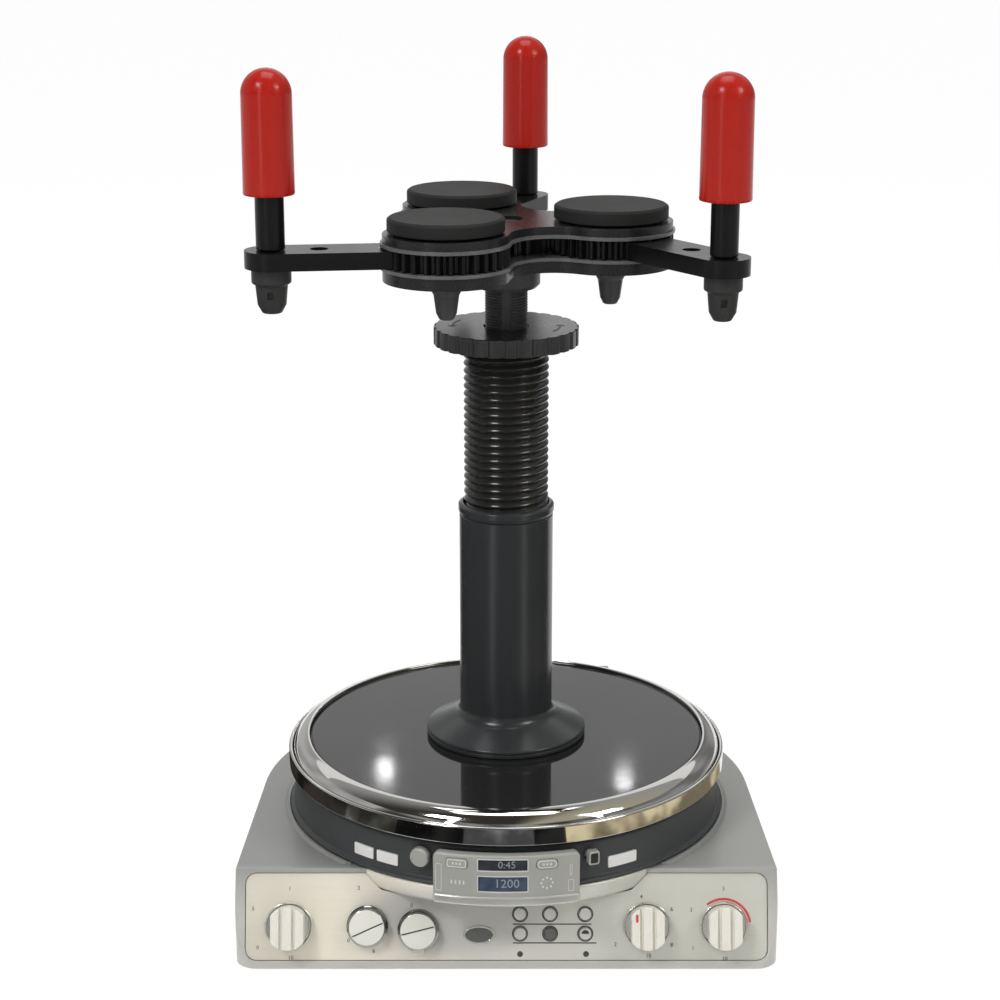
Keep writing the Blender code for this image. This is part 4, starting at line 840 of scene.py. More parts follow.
def housing_outline(inset):
    rear = BASE_REAR_RADIUS - inset
    corner = BASE_CORNER - inset
    corner_y = BASE_FRONT + inset + corner
    corner_x = (base_side(rear) - corner - corner_y * math.sin(BASE_TAPER)) / math.cos(BASE_TAPER)
    quarter = math.pi / 2
    return (
        arc((-corner_x, corner_y), corner, math.pi - BASE_TAPER, 3 * quarter, 10)
        + arc((corner_x, corner_y), corner, 3 * quarter, 4 * quarter + BASE_TAPER, 10)
        + arc((0, BASE_REAR_CENTRE), rear, BASE_TAPER, math.pi - BASE_TAPER, 72)
    )


def housing_form(inset, low, high):
    shape = flat([housing_outline(inset)], low, high)
    outwards = PANEL.to_3x3() @ Vector((0, 0, 1))
    return clipped(shape, Vector((0, BASE_FRONT, PANEL_FOOT)) - outwards * inset, outwards)


def fascia_outline(growth):
    half_width = (base_side(BASE_REAR_RADIUS) - BASE_FRONT * math.sin(BASE_TAPER)) / math.cos(BASE_TAPER)
    half = half_width - FASCIA_FRAME + growth
    top = PANEL_LENGTH - FASCIA_HEAD + growth
    return rounded_box(-half, half, FASCIA_FOOT - growth, top, FASCIA_CORNER + growth)


def brow_form(clearance, edge):
    top = DECK - GAP / 2
    bottom = DECK - BROW_LIP - BROW_CONE_DROP - clearance
    edge_radius = BROW_RADIUS - BROW_TAPER
    profile = [
        (0, top),
        (BROW_RADIUS + clearance, top),
        (edge_radius + clearance, DECK - BROW_LIP - clearance),
        (edge_radius - BROW_CONE_RUN, bottom),
        (0, bottom),
    ]
    return clipped(turned(profile, LARGE_ROUND, edge), (0, PANEL_TOP_Y + BROW_ROOT, 0), (0, 1, 0))


def make_base():
    low = heights("base_housing")[0]
    housing = soften(housing_form(0, low, DECK), BASE_EDGE, 5)
    cavity = housing_form(BASE_WALL, low - BASE_WALL, DECK - BASE_WALL)
    recess = moved(flat([fascia_outline(GAP)], -RECESS_DEPTH, BASE_WALL), PANEL)
    shaft_room = rod(PIN_ROOM, DECK - 2 * BASE_WALL, DECK + BASE_WALL)
    housing = carved(housing, cavity, recess, shaft_room)
    piece("housing_shell", housing, "housing_paint_painted_light", "base", "base_housing", slot="grey_paint")
    piece("housing_brow", brow_form(0, BROW_EDGE), "panel_steel_painted_light", "base", "base_housing", slot="grey_paint")

    inner = DRUM_FOOT_RADIUS + GAP
    outer = inner + DECK_RING_WIDTH
    top = DECK + DECK_RING_HEIGHT
    profile = [(inner, top), (outer - DECK_RING_WIDTH / 2, top), (outer, DECK), (inner, DECK)]
    collar = moved(turned(profile, LARGE_ROUND, edge=0.0005), Matrix.Rotation(math.pi, 4, "Z"))
    collar = clipped(collar, (0, PANEL_TOP_Y + BASE_EDGE, 0), (0, -1, 0))
    piece("deck_collar", collar, "grey_paint", "base", slot="grey_paint")

    holes = [ring(knob_place(number), SPINDLE_RADIUS + GAP) for number in range(1, 6)]
    holes += [ring(place, BUTTON_RADIUS + GAP) for place in button_places()]
    back = FASCIA_FACE - FASCIA_THICKNESS
    fascia = moved(flat([fascia_outline(0), *holes], back, FASCIA_FACE, edge=0.0003), PANEL)
    fascia = carved(fascia, brow_form(GAP, 0))
    piece("fascia_plate", fascia, "panel_steel_painted_light", "base", "control_fascia", slot="pale_steel")


# Panel controls


def button_places():
    return [
        (middle(f"button_{number}").x, BUTTON_ROWS[(number - 1) // 3]) for number in range(1, 7)
    ]


def knob_place(number):
    slope = KNOB_SLOPE - THIRD_KNOB_DROP if number == 3 else KNOB_SLOPE
    return middle(f"knob_{number}").x, slope


def on_panel(shape, across, slope, out=0.0):
    return moved(shape, PANEL @ Matrix.Translation((across, slope, FASCIA_FACE + out)))


def make_panel_print():
    marks = []
    for number, figures in KNOB_MARKS.items():
        x, slope = knob_place(number)
        for words, across, up in figures:
            marks.append(on_panel(numeral(words, MARK_SIZE), x + across, slope + up))
    half = LINE_WIDTH / 2
    for left, right, slope in PANEL_LINES:
        stroke = rounded_box(left, right, slope - half, slope + half, half * 0.9, 3)
        marks.append(on_panel(printed(stroke), 0, 0))
    inner = BUTTON_RADIUS + 1.5 * GAP
    for place in button_places():
        marks.append(on_panel(printed(ring((0, 0), inner + BEZEL_WIDTH), ring((0, 0), inner)), *place))
    radius = PANEL_LAMP_RADIUS
    for place in PANEL_LAMPS:
        lamp = turned([(0, 0.0006), (radius * 0.6, 0.0005), (radius, 0), (0, 0)], SMALL_ROUND)
        marks.append(on_panel(lamp, *place))
    piece("panel_print", gathered(marks), "dark_print", "base")

    oval = [(OVAL_HALF[0] * x, OVAL_HALF[1] * y) for x, y in ring((0, 0), 1, 48)]
    opening = [(x * OVAL_OPENING[0], y * OVAL_OPENING[1]) for x, y in oval]
    plate = flat([oval], 0, 0.0005, edge=0.0002)
    piece("oval_plate", on_panel(plate, *OVAL_PLACE), "oval_grey", "base")
    border = flat([oval, opening], 0.0004, 0.0008, edge=0.00015)
    piece("oval_border", on_panel(border, *OVAL_PLACE), "bright_chrome", "base")
    piece("red_scale", on_panel(printed(band(*RED_SCALE, 40)), *knob_place(5)), "red_print", "base")


def make_bar_knob(number):
    """A chrome skirt with a ribbed grip."""
    body = f"knob_{number}"
    place, radius, top = knob_place(number), radius_of(body), KNOB_SKIRT_HEIGHT
    skirt = SPINDLE + [
        (radius - KNOB_SKIRT_EDGE, GAP),
        (radius, GAP + KNOB_SKIRT_EDGE),
        (radius - KNOB_SKIRT_EDGE, top),
        (KNOB_GRIP_RADIUS + KNOB_WELL_EDGE, top - KNOB_WELL_EDGE),
        (KNOB_GRIP_RADIUS, top - KNOB_WELL_DEPTH),
        (0, top - KNOB_WELL_DEPTH),
    ]
    shape = on_panel(turned(skirt, ROUND, edge=0.00025), *place)
    piece(f"{body}_skirt", shape, "bright_chrome", body, body, slot="cream_plastic")

    turn = math.acos(KNOB_GRIP_HALF / KNOB_GRIP_RADIUS)
    outline = arc((0, 0), KNOB_GRIP_RADIUS, turn, math.pi - turn, 24)
    outline += arc((0, 0), KNOB_GRIP_RADIUS, math.pi + turn, math.tau - turn, 24)
    grip = flat([outline], top - KNOB_GRIP_SINK, KNOB_GRIP_HEIGHT, KNOB_GRIP_EDGE)
    half, reach = KNOB_GROOVE_WIDTH / 2, KNOB_GRIP_RADIUS * 1.2
    low, high = KNOB_GRIP_HEIGHT - KNOB_GROOVE_DEPTH, KNOB_GRIP_HEIGHT + KNOB_GROOVE_DEPTH
    grooves = []
    for across in KNOB_GROOVES:
        section = rounded_box(across - half, across + half, low, high, half * 0.9, 4)
        grooves.append(moved(flat([section], -reach, reach), Matrix.Rotation(math.pi / 2, 4, "X")))
    shape = on_panel(carved(grip, *grooves), *place)
    piece(f"{body}_grip", shape, "cream_plastic", body, body, slot="cream_plastic")

    if number == 4:
        pointer = printed(rounded_box(*POINTER_BOX, 0.0006, 3))
        piece("knob_4_pointer", on_panel(pointer, *place, KNOB_GRIP_HEIGHT), "red_print", body)


def make_round_knob(number, line_angle, line_offset):
    """A chrome barrel with a smooth face and an index line."""
    body = f"knob_{number}"
    place, radius, height = knob_place(number), radius_of(body), ROUND_KNOB_HEIGHT
    edge, rim, slim = 0.0002, ROUND_KNOB_FACE, 0.0010
    barrel = SPINDLE + [
        (radius, GAP),
        (radius, ROUND_KNOB_STEP),
        (radius - slim, ROUND_KNOB_STEP + 0.0007),
        (radius - slim - 0.0003, height - 0.0006),
        (rim + edge, height - edge),
        (0, height - edge),
    ]
    shape = on_panel(turned(barrel, ROUND, edge=0.0004), *place)
    piece(f"{body}_barrel", shape, "dark_chrome", body, body, slot="cream_plastic")

    crown, back = height + 0.0006, height - 0.0008
    face = [(0, crown), (rim * 0.6, crown - 0.0001), (rim, height), (rim, back), (0, back)]
    half = rim * 1.1
    groove = block(half, 0.0004, 0.0003, height - 0.0001, height + 0.001, steps=3)
    index = Matrix.Rotation(line_angle, 4, "Z") @ Matrix.Translation((0, line_offset, 0))
    disc = carved(turned(face, ROUND, edge), moved(groove, index))
    piece(f"{body}_face", on_panel(disc, *place), "knob_face", body, body, slot="cream_plastic")

    line = moved(block(half * 0.86, 0.00035, 0.0003, 0, 0.0001, steps=3), index)
    piece(f"{body}_line", on_panel(line, *place, height), "dark_print", body)
    if number == 3:
        tab = flat([rounded_box(*TAB_BOX, TAB_CORNER)], GAP, TAB_TOP, edge=0.0004)
        piece("knob_3_tab", on_panel(tab, *place), "cream_plastic", body, body)


def make_controls():
    for number in (1, 4, 5):
        make_bar_knob(number)
    for number, line in INDEX_LINES.items():
        make_round_knob(number, *line)
    profile = [
        (0, BUTTON_PROUD),
        (BUTTON_RADIUS - BUTTON_EDGE, BUTTON_PROUD),
        (BUTTON_RADIUS, BUTTON_PROUD - BUTTON_EDGE),
        (BUTTON_RADIUS, -BUTTON_STEM),
        (0, -BUTTON_STEM),
    ]
    for number, place in enumerate(button_places(), 1):
        body = f"button_{number}"
        finish = "oval_grey" if number == 5 else "button_grey"
        cap = on_panel(turned(profile, SMALL_ROUND, edge=0.0002), *place)
        piece(f"{body}_cap", cap, finish, body, body, slot="silver_plastic")
        if number == 6:
            mark = printed(arc((0, 0), BUTTON_RADIUS * 0.62, 0, math.pi, 16))
            piece("button_6_mark", on_panel(mark, *place, BUTTON_PROUD), "dark_print", body)


# Drum and display pod


def radial(angle, height=0.0):
    """Z points outwards at an angle from the front, and Y up."""
    return (
        Matrix.Translation((0, 0, height))
        @ Matrix.Rotation(angle, 4, "Z")
        @ Matrix.Rotation(math.pi / 2, 4, "X")
    )


def make_drum():
    low, top = heights("drum_cover")
    inner, under = DRUM_TOP_RADIUS - DRUM_WALL, top - DRUM_WALL
    profile = [
        (PIN_ROOM, top),
        (DRUM_TOP_RADIUS - DRUM_SHOULDER, top),
        (DRUM_TOP_RADIUS, top - DRUM_SHOULDER),
        (DRUM_RADIUS, low + 3 * DRUM_LIFT),
        (DRUM_FOOT_RADIUS, low + 2 * DRUM_LIFT),
        (DRUM_FOOT_RADIUS, low + DRUM_LIFT),
        (DRUM_TOP_RADIUS, low + DRUM_LIFT),
        (DRUM_TOP_RADIUS, low),
        (inner, low),
        (inner, under),
        (PIN_ROOM, under),
    ]
    cutters = []
    for number in (1, 2):
        place = middle(f"idler_crank_{number}")
        cutters.append(rod(IDLER_ROOM, top - 2 * DRUM_WALL, top + DRUM_WALL, (place.x, place.y)))
    for side in (-1, 1):
        hole = rod(SIDE_STEM_RADIUS + 2 * GAP, SIDE_STEM_END - DRUM_WALL, SIDE_BUTTON_FRONT)
        cutters.append(moved(hole, radial(side * SIDE_BUTTON_ANGLE, middle("start_button").z)))
    drum = carved(turned(profile, LARGE_ROUND, edge=0.0006), *cutters)
    piece("drum_skirt", drum, "charcoal_paint", "base", "drum_cover", slot="charcoal_paint")

    labels = []
    for across, width in LABELS:
        outline = rounded_box(across - width / 2, across + width / 2, -LABEL_HALF, LABEL_HALF, 0.0006, 3)
        labels.append(wrapped(flat([outline], -0.0008, 0.0003), DRUM_RADIUS, low + LABEL_RISE))
    piece("skirt_plates", gathered(labels), "label_white", "base")


def make_side_buttons():
    height = middle("start_button").z
    front, back, edge = SIDE_BUTTON_FRONT, SIDE_BUTTON_BACK, 0.0005
    profile = [
        (0, front),
        (START_RADIUS - 0.0009, front),
        (START_RADIUS, front - 0.0008),
        (START_RADIUS, back),
        (SIDE_STEM_RADIUS, back),
        (SIDE_STEM_RADIUS, SIDE_STEM_END),
        (0, SIDE_STEM_END),
    ]
    cap = moved(turned(profile, ROUND, edge), radial(-SIDE_BUTTON_ANGLE, height))
    piece("start_cap", cap, "pod_silver", "start_button", "start_button", slot="silver_plastic")

    half, tall = STOP_HALF
    place = radial(SIDE_BUTTON_ANGLE, height)
    head = block(half, tall, 0.0013, back, front, edge)
    stem = rod(SIDE_STEM_RADIUS, SIDE_STEM_END, back + 0.001)
    head = carved(head, stem, operation="UNION")
    floor = front - STOP_INSET
    window = block(half - 0.9 * STOP_BORDER, tall - STOP_BORDER, 0.0008, floor, front + 0.001)
    head = moved(carved(head, window), place)
    piece("stop_frame", head, "pod_silver", "stop_button", "stop_button", slot="dark_plastic")
    inset = block(half - STOP_BORDER, tall - 1.1 * STOP_BORDER, 0.0007, floor, front - 0.0001)
    piece("stop_face", moved(inset, place), "dark_plastic", "stop_button", slot="dark_plastic")


def on_pod(shape, across=0.0, up=0.0, out=0.0):
    return wrapped(shifted(shape, across, up, out), POD_RADIUS, POD_FOOT)


def window_outline(low, high, growth, corner):
    half = WINDOW_HALF + growth
    return rounded_box(WINDOW_MIDDLE - half, WINDOW_MIDDLE + half, low - growth, high + growth, corner, 3)


def key_outline(name, growth):
    half, tall = KEY_WIDTH / 2 + growth, KEY_HEIGHT / 2 + growth
    corner = tall * 0.98 if name == "right" else 0.0014 + growth
    return rounded_box(-half, half, -tall, tall, corner, 8)


def make_pod():
    outline = rounded_box(-POD_HALF, POD_HALF, 0, POD_TOP - POD_FOOT, POD_CORNER)
    plate = flat([outline], -POD_DEPTH, 0, POD_EDGE)
    cutters = []
    for _, low, high, *_ in DISPLAYS:
        cutters.append(flat([window_outline(low, high, 0, 0.0004)], -WINDOW_DEPTH, POD_EDGE))
    for name, angle in KEY_ANGLES.items():
        room = flat([key_outline(name, GAP)], -KEY_DEPTH - 4 * GAP, POD_EDGE)
        cutters.append(shifted(room, angle * POD_RADIUS, KEY_RISE))
    pod = on_pod(carved(plate, *cutters))
    piece("pod_shell", pod, "pod_silver", "base", "display_pod", slot="silver_plastic")

    half = POD_HALF + POD_LIP_LAP
    lip = rounded_box(-half, half, -POD_LIP_LAP, POD_LIP_HEIGHT, 0.0018)
    lip = on_pod(flat([lip], -POD_DEPTH * 0.9, POD_LIP_PROUD, edge=0.0013))
    piece("pod_lip", lip, "lip_silver", "base", slot="silver_plastic")


def make_displays():
    """The two displays and the print on the pod."""
    ink = []
    for name, low, high, finish, figures, size in DISPLAYS:
        face = -WINDOW_DEPTH / 2
        glass = on_pod(flat([window_outline(low, high, -GAP / 3, 0.0003)], -WINDOW_DEPTH, face))
        piece(f"display_{name}", glass, finish, "base", "lcd_module", slot="display_glass")
        rim = [window_outline(low, high, WINDOW_RIM, 0.0006), window_outline(low, high, 0, 0.0003)]
        ink.append(on_pod(flat(rim, -0.0001, 0.0002)))
        digits = on_pod(numeral(figures, size), WINDOW_MIDDLE + FIGURES_SHIFT, (low + high) / 2, face)
        piece(f"figures_{name}", digits, "display_ink", "base")
    for number in range(4):
        bar = block(*POD_BAR_HALF, 0.0003, 0, PRINT, steps=3)
        ink.append(on_pod(bar, POD_BARS[0] + number * POD_BAR_PITCH, POD_BARS[1]))
    for x, y in ring(POD_DIAL, POD_DIAL_RADIUS, POD_DIAL_DOTS):
        ink.append(on_pod(printed(ring((0, 0), POD_DOT_RADIUS, 12)), x, y))
    line = POD_FRAME_LINE
    for left, right, low, high in POD_FRAMES:
        inner = rounded_box(left + line, right - line, low + line, high - line, 0.0004, 4)
        ink.append(on_pod(printed(rounded_box(left, right, low, high, 0.0007, 4), inner)))
    piece("pod_print", gathered(ink), "pale_print", "base")


def make_keys():
    for name, angle in KEY_ANGLES.items():
        body = f"pod_key_{name}"
        place = angle * POD_RADIUS
        cap = flat([key_outline(name, 0)], -KEY_DEPTH, KEY_PROUD, edge=0.0003)
        piece(f"{body}_cap", on_pod(cap, place, KEY_RISE), "pod_silver", body, body, slot="silver_plastic")
        rim = printed(*[key_outline(name, growth) for growth in KEY_LINE])
        marks = [on_pod(rim, place, KEY_RISE, KEY_PROUD)]
        for number in (-1, 0, 1):
            bar = block(*KEY_BAR_HALF, 0.0004, 0, PRINT, steps=3)
            marks.append(on_pod(bar, place + number * KEY_BAR_PITCH, KEY_RISE, KEY_PROUD))
        piece(f"{body}_mark", gathered(marks), "pale_print", body)


def make_inlet():
    low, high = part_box("power_inlet")
    centre, half = (low + high) / 2, (high - low) / 2
    place = Matrix.Translation((centre.x, 0, centre.z)) @ radial(math.pi)
    floor = high.y - SOCKET_DEPTH
    body = block(half.x, half.z, 0.0016, low.y, high.y, edge=0.0012)
    well = block(*SOCKET_HALF, 0.002, floor, high.y + SOCKET_DEPTH)
    body = moved(carved(body, well), place)
    piece("inlet_block", body, "grey_paint", "base", "power_inlet", slot="grey_paint")
    blades = []
    for across, up in BLADE_PLACES:
        blade = block(*BLADE_HALF, 0.0004, floor - 0.001, high.y - BLADE_SINK, 0.0003, 3)
        blades.append(moved(shifted(blade, across, up), place))
    piece("inlet_blades", gathered(blades), "inner_steel", "base")


# Platform, column and screw


def make_platform():
    low, top = heights("platter_disc")
    flange = radius_of("platter_disc")
    web = low + PLATTER_WEB
    step = web + PLATTER_FLANGE
    pin_top = heights("eccentric_crank")[1] + GAP
    profile = [
        (0, top),
        (PLATTER_RADIUS - PLATTER_BORDER, top),
        (PLATTER_RADIUS - PLATTER_EDGE[0], top),
        (PLATTER_RADIUS, top - PLATTER_EDGE[1]),
        (PLATTER_RADIUS, step),
        (flange, step),
        (flange, web),
        (BOSS_RADIUS, web),
        (BOSS_RADIUS, low),
        (BORE_RADIUS, low),
        (BORE_RADIUS, pin_top),
        (0, pin_top),
    ]
    disc = moved(turned(profile, LARGE_ROUND), AXIS)
    bosses, bores = [], []
    for number in (1, 2):
        place = middle(f"idler_crank_{number}")
        at = (place.x, place.y + AXIS.translation.y)
        bosses.append(rod(BOSS_RADIUS - IDLER_SLIM, low, web + IDLER_LAP, at))
        bores.append(rod(BORE_RADIUS - IDLER_SLIM, low - IDLER_LAP, pin_top, at))
    disc = carved(carved(disc, *bosses, operation="UNION"), *bores)
    piece("platter_top", disc, "platform_coat", "platter", "platter_disc", slot="platform_coat")
    make_rim(step + GAP)


def make_rim(seat):
    """A chrome band round the platform that sits on its flange."""
    band_low, bead_top = heights("rim_ring")
    bead_top += RIM_RISE
    radius, inner = radius_of("rim_ring"), PLATTER_RADIUS + GAP
    slope_start = Vector((inner + RIM_BEAD, bead_top))
    slope_centre = slope_start - Vector(polar(RIM_SLOPE_RADIUS, RIM_SLOPE_ENDS[0]))
    roll_centre = (radius - RIM_ROLL, band_low + RIM_BAND - RIM_ROLL)
    outline = [(inner, seat)]
    outline += arc((inner + RIM_BEAD, bead_top - RIM_BEAD), RIM_BEAD, math.pi, math.pi / 2, 4)[:-1]
    outline += arc(slope_centre, RIM_SLOPE_RADIUS, *RIM_SLOPE_ENDS, 20)
    outline += arc(roll_centre, RIM_ROLL, math.pi * 0.9, 0, 8)
    outline += arc((radius - RIM_FOOT, band_low + RIM_FOOT), RIM_FOOT, 0, -math.pi / 2, 4)
    outline += [(radius - RIM_WALL, band_low), (radius - RIM_WALL, seat)]
    rim = moved(turned(outline, LARGE_ROUND), AXIS)
    piece("rim_band", rim, "rim_chrome", "platter", "rim_ring", slot="chrome")


def make_column():
    low, top = heights("column_tube")
    flange, floor = radius_of("column_tube"), low + COLUMN_FLOOR
    roll_centre = (flange - FLANGE_ROLL, low + FLANGE_RIM - FLANGE_ROLL)
    roll = arc(roll_centre, FLANGE_ROLL, math.pi / 2 - FLANGE_SLOPE, 0, 6)
    fillet = arc((0, 0), COLUMN_FILLET, math.pi, math.pi * 3 / 2 - FLANGE_SLOPE, 10)
    run = roll[0][0] - COLUMN_RADIUS - COLUMN_FILLET - fillet[-1][0]
    rise = roll[0][1] + run * math.tan(FLANGE_SLOPE) - fillet[-1][1]
    groove = low + FLANGE_RIM / 2
    profile = [
        (0, floor),
        (COLUMN_BORE, floor),
        (COLUMN_BORE, top),
        (COLUMN_RADIUS - COLUMN_EDGE, top),
        (COLUMN_RADIUS, top - COLUMN_EDGE),
        *[(COLUMN_RADIUS + COLUMN_FILLET + x, rise + z) for x, z in fillet],
        *roll,
        (flange, groove + FLANGE_GROOVE),
        (flange - FLANGE_GROOVE, groove),
        (flange, groove - FLANGE_GROOVE),
        (flange, low + COLUMN_EDGE),
        (flange - COLUMN_EDGE, low),
        (0, low),
    ]
    column = moved(turned(profile, LARGE_ROUND), AXIS)
    piece("column_body", column, "column_paint", "platter", "column_tube", slot="blue_black_paint")


def make_collar():
    low, top = heights("guide_collar")
    lip, foot = radius_of("guide_collar"), radius_of("guide_collar") - 0.0005
    profile = [(COLUMN_BORE, top), (lip - 0.0016, top), (lip, top - 0.0012), (lip, low + 0.0016),
               (foot, low + 0.0010), (foot, low), (COLUMN_BORE, low)]
    collar = moved(turned(profile, LARGE_ROUND, edge=0.0004), AXIS)
    piece("column_collar", collar, "column_paint", "platter", "guide_collar", slot="blue_black_paint")


def make_screw():
    low, top = heights("screw_sleeve")
    thread_low = low + SPIGOT_LENGTH
    ribs = threaded(radius_of("screw_sleeve"), RIB_DEPTH, RIB_PITCH, thread_low, top)
    spigot = rod(SPIGOT_RADIUS, low, thread_low + RIB_PITCH, steps=ROUND)
    bore = rod(NECK_RADIUS + NECK_ROOM, heights("head_shaft")[0] - GAP, top + GAP, steps=ROUND)
    sleeve = moved(carved(carved(ribs, spigot, operation="UNION"), bore), AXIS)
    piece("sleeve_ribs", sleeve, "rib_black", "screw", "screw_sleeve", slot="black_anodised")


def make_disc():
    """The knurled disc and its two arrows."""
    low, top = heights("adjusting_disc")
    radius = radius_of("adjusting_disc")
    pitch = math.tau / DISC_NOTCHES
    outline = []
    for notch in range(DISC_NOTCHES):
        start = notch * pitch
        outline += arc((0, 0), radius, start, start + 0.56 * pitch, 4)
        outline += arc((0, 0), radius - DISC_NOTCH_DEPTH, start + 0.68 * pitch, start + 0.88 * pitch, 2)
    disc = flat([outline, ring((0, 0), NECK_RADIUS + NECK_ROOM, ROUND)], low, top, edge=0.0006)
    piece("disc_knurl", moved(disc, AXIS), "disc_black_painted_light", "screw", "adjusting_disc", slot="black_anodised")

    reach = radius * ARROW_PLACE
    arrows = []
    for side in (0, math.pi):
        start = side + ARROW_START
        end = start + ARROW_SWEEP
        tip = [polar(reach + ARROW_TIP_HALF, end), polar(reach, end + ARROW_TIP),
               polar(reach - ARROW_TIP_HALF, end)]
        for outline in (band(reach - ARROW_HALF, reach + ARROW_HALF, start, end, 16), tip):
            arrows.append(flat([outline], top, top + PRINT))
    piece("disc_arrows", moved(gathered(arrows), AXIS), "dark_plastic", "screw")


# Clamp head


def make_shaft():
    low, top = heights("head_shaft")
    collar = radius_of("head_shaft")
    collar_top = heights("head_bottom_plate")[0] - GAP
    collar_low = collar_top - NECK_COLLAR_HEIGHT
    neck_top, root = collar_low - NECK_SHOULDER, NECK_RADIUS - NECK_THREAD_DEPTH
    profile = [
        (0, top),
        (JOURNAL_RADIUS, top),
        (JOURNAL_RADIUS, collar_top),
        (collar, collar_top),
        (collar, collar_low + NECK_COLLAR_BEVEL),
        (collar - NECK_COLLAR_BEVEL, collar_low),
        (NECK_RADIUS, collar_low),
        (NECK_RADIUS, neck_top),
        (root, neck_top),
        (root, low),
        (0, low),
    ]
    thread_low = heights("adjusting_disc")[1] - NECK_THREAD_START
    thread_top = collar_low - NECK_SHOULDER / 2
    thread = threaded(NECK_RADIUS, NECK_THREAD_DEPTH * 1.2, NECK_THREAD_PITCH, thread_low, thread_top)
    shaft = carved(turned(profile, ROUND, edge=0.0004), thread, operation="UNION")
    half, depth = KEYWAY_WIDTH / 2, NECK_RADIUS - KEYWAY_DEPTH
    keyway = rounded_box(-half, half, -2 * NECK_RADIUS, -depth, 0.0005, 3)
    shaft = moved(carved(shaft, flat([keyway], low - GAP, collar_low - 0.0002)), AXIS)
    piece("shaft_neck", shaft, "neck_black_painted_light", "head", "head_shaft", slot="black_anodised")


def lobe_places():
    axis = AXIS.translation
    return [middle(f"pad_{number}") - Vector((axis.x, axis.y, 0)) for number in (1, 2, 3)]


def clover(inset):
    """Three round lobes joined by hollow waists, drawn in by the inset."""
    lobes = lobe_places()
    distance = lobes[0].xy.length
    first = math.atan2(lobes[0].y, lobes[0].x)
    hollow = (distance**2 + LOBE_WAIST**2 - distance * LOBE_WAIST - LOBE_RADIUS**2) / (
        2 * LOBE_RADIUS + distance - 2 * LOBE_WAIST
    )
    points = []
    for number in range(3):
        towards = first + number * math.tau / 3
        centre = Vector(polar(distance, towards))
        before = Vector(polar(LOBE_WAIST + hollow, towards - math.pi / 3))
        after = Vector(polar(LOBE_WAIST + hollow, towards + math.pi / 3))
        start = math.atan2(*(before - centre).yx)
        sweep = (math.atan2(*(after - centre).yx) - start) % math.tau
        points += arc(centre, LOBE_RADIUS - inset, start, start + sweep, 40)
        start += sweep + math.pi
        far = Vector(polar(distance, towards + math.tau / 3))
        sweep = (start - math.atan2(*(far - after).yx)) % math.tau
        points += arc(after, hollow + inset, start, start - sweep, 16)[1:-1]
    return points


def make_plates():
    """Each plate has its lip on the side of the arms."""
    holes = [ring((lobe.x, lobe.y), PIVOT_RADIUS + GAP) for lobe in lobe_places()]
    holes.append(ring((0, 0), JOURNAL_RADIUS + GAP))
    for name, node, edge in (("lower", "head_bottom_plate", 0.0012), ("upper", "head_top_plate", 0.0009)):
        low, top = heights(node)
        lip = [low, low + LIP_HEIGHT] if name == "upper" else [top - LIP_HEIGHT, top]
        body = [low + LIP_HEIGHT / 2, top] if name == "upper" else [low, top - LIP_HEIGHT / 2]
        rim = flat([clover(0), *holes], *lip, edge=0.0005)
        plate = carved(flat([clover(LIP_REACH), *holes], *body, edge), rim, operation="UNION")
        coat = f"{name}_plate_coat"
        piece(f"{name}_clover", moved(plate, AXIS), coat, "head", node, slot="black_anodised")


def make_lobe(number):
    place = middle(f"pad_{number}")
    low, top = heights(f"pad_{number}")
    radius = radius_of(f"pad_{number}")
    foot, step, dish = radius - PAD_FOOT_INSET, low + PAD_FOOT, top - PAD_DISH
    profile = [(0, dish), (radius * 0.85, dish), (radius - 0.0016, top), (radius, top - 0.0012),
               (radius, step), (foot, step), (foot, low), (0, low)]
    pad = shifted(turned(profile, LARGE_ROUND, edge=0.0005), place.x, place.y)
    piece(f"pad_{number}_rubber", pad, "pad_rubber", "head", f"pad_{number}", slot="black_rubber")

    low, top = heights(f"arm_pivot_{number}")
    seat = heights("head_bottom_plate")[0] - GAP
    wide, tip, skirt = radius_of(f"arm_pivot_{number}"), PIVOT_RADIUS, seat - NUB_SKIRT
    profile = [(0, top), (PIVOT_RADIUS, top), (PIVOT_RADIUS, seat), (wide, seat), (wide, skirt),
               (wide - 0.0009, skirt - 0.0010), (tip, low + 0.0035), (tip - 0.0018, low), (0, low)]
    nub = shifted(turned(profile, ROUND, edge=0.0007), place.x, place.y)
    piece(f"pivot_{number}_nub", nub, "neck_black_painted_light", "head", f"arm_pivot_{number}", slot="black_anodised")


def gear_outline(teeth, first, module):
    pitch_radius = module * teeth / 2
    tip, root = pitch_radius + ADDENDUM * module, pitch_radius - DEDENDUM * module
    half = math.pi * module / 4 - BACKLASH / 2
    half_tip = half - ADDENDUM * module * math.tan(FLANK)
    half_root = half + DEDENDUM * module * math.tan(FLANK)
    corners = ((root, -half_root), (tip, -half_tip), (tip, half_tip), (root, half_root))
    points = []
    for tooth in range(teeth):
        centre = first + math.tau * tooth / teeth
        points += [polar(radius, centre + width / radius) for radius, width in corners]
    return points


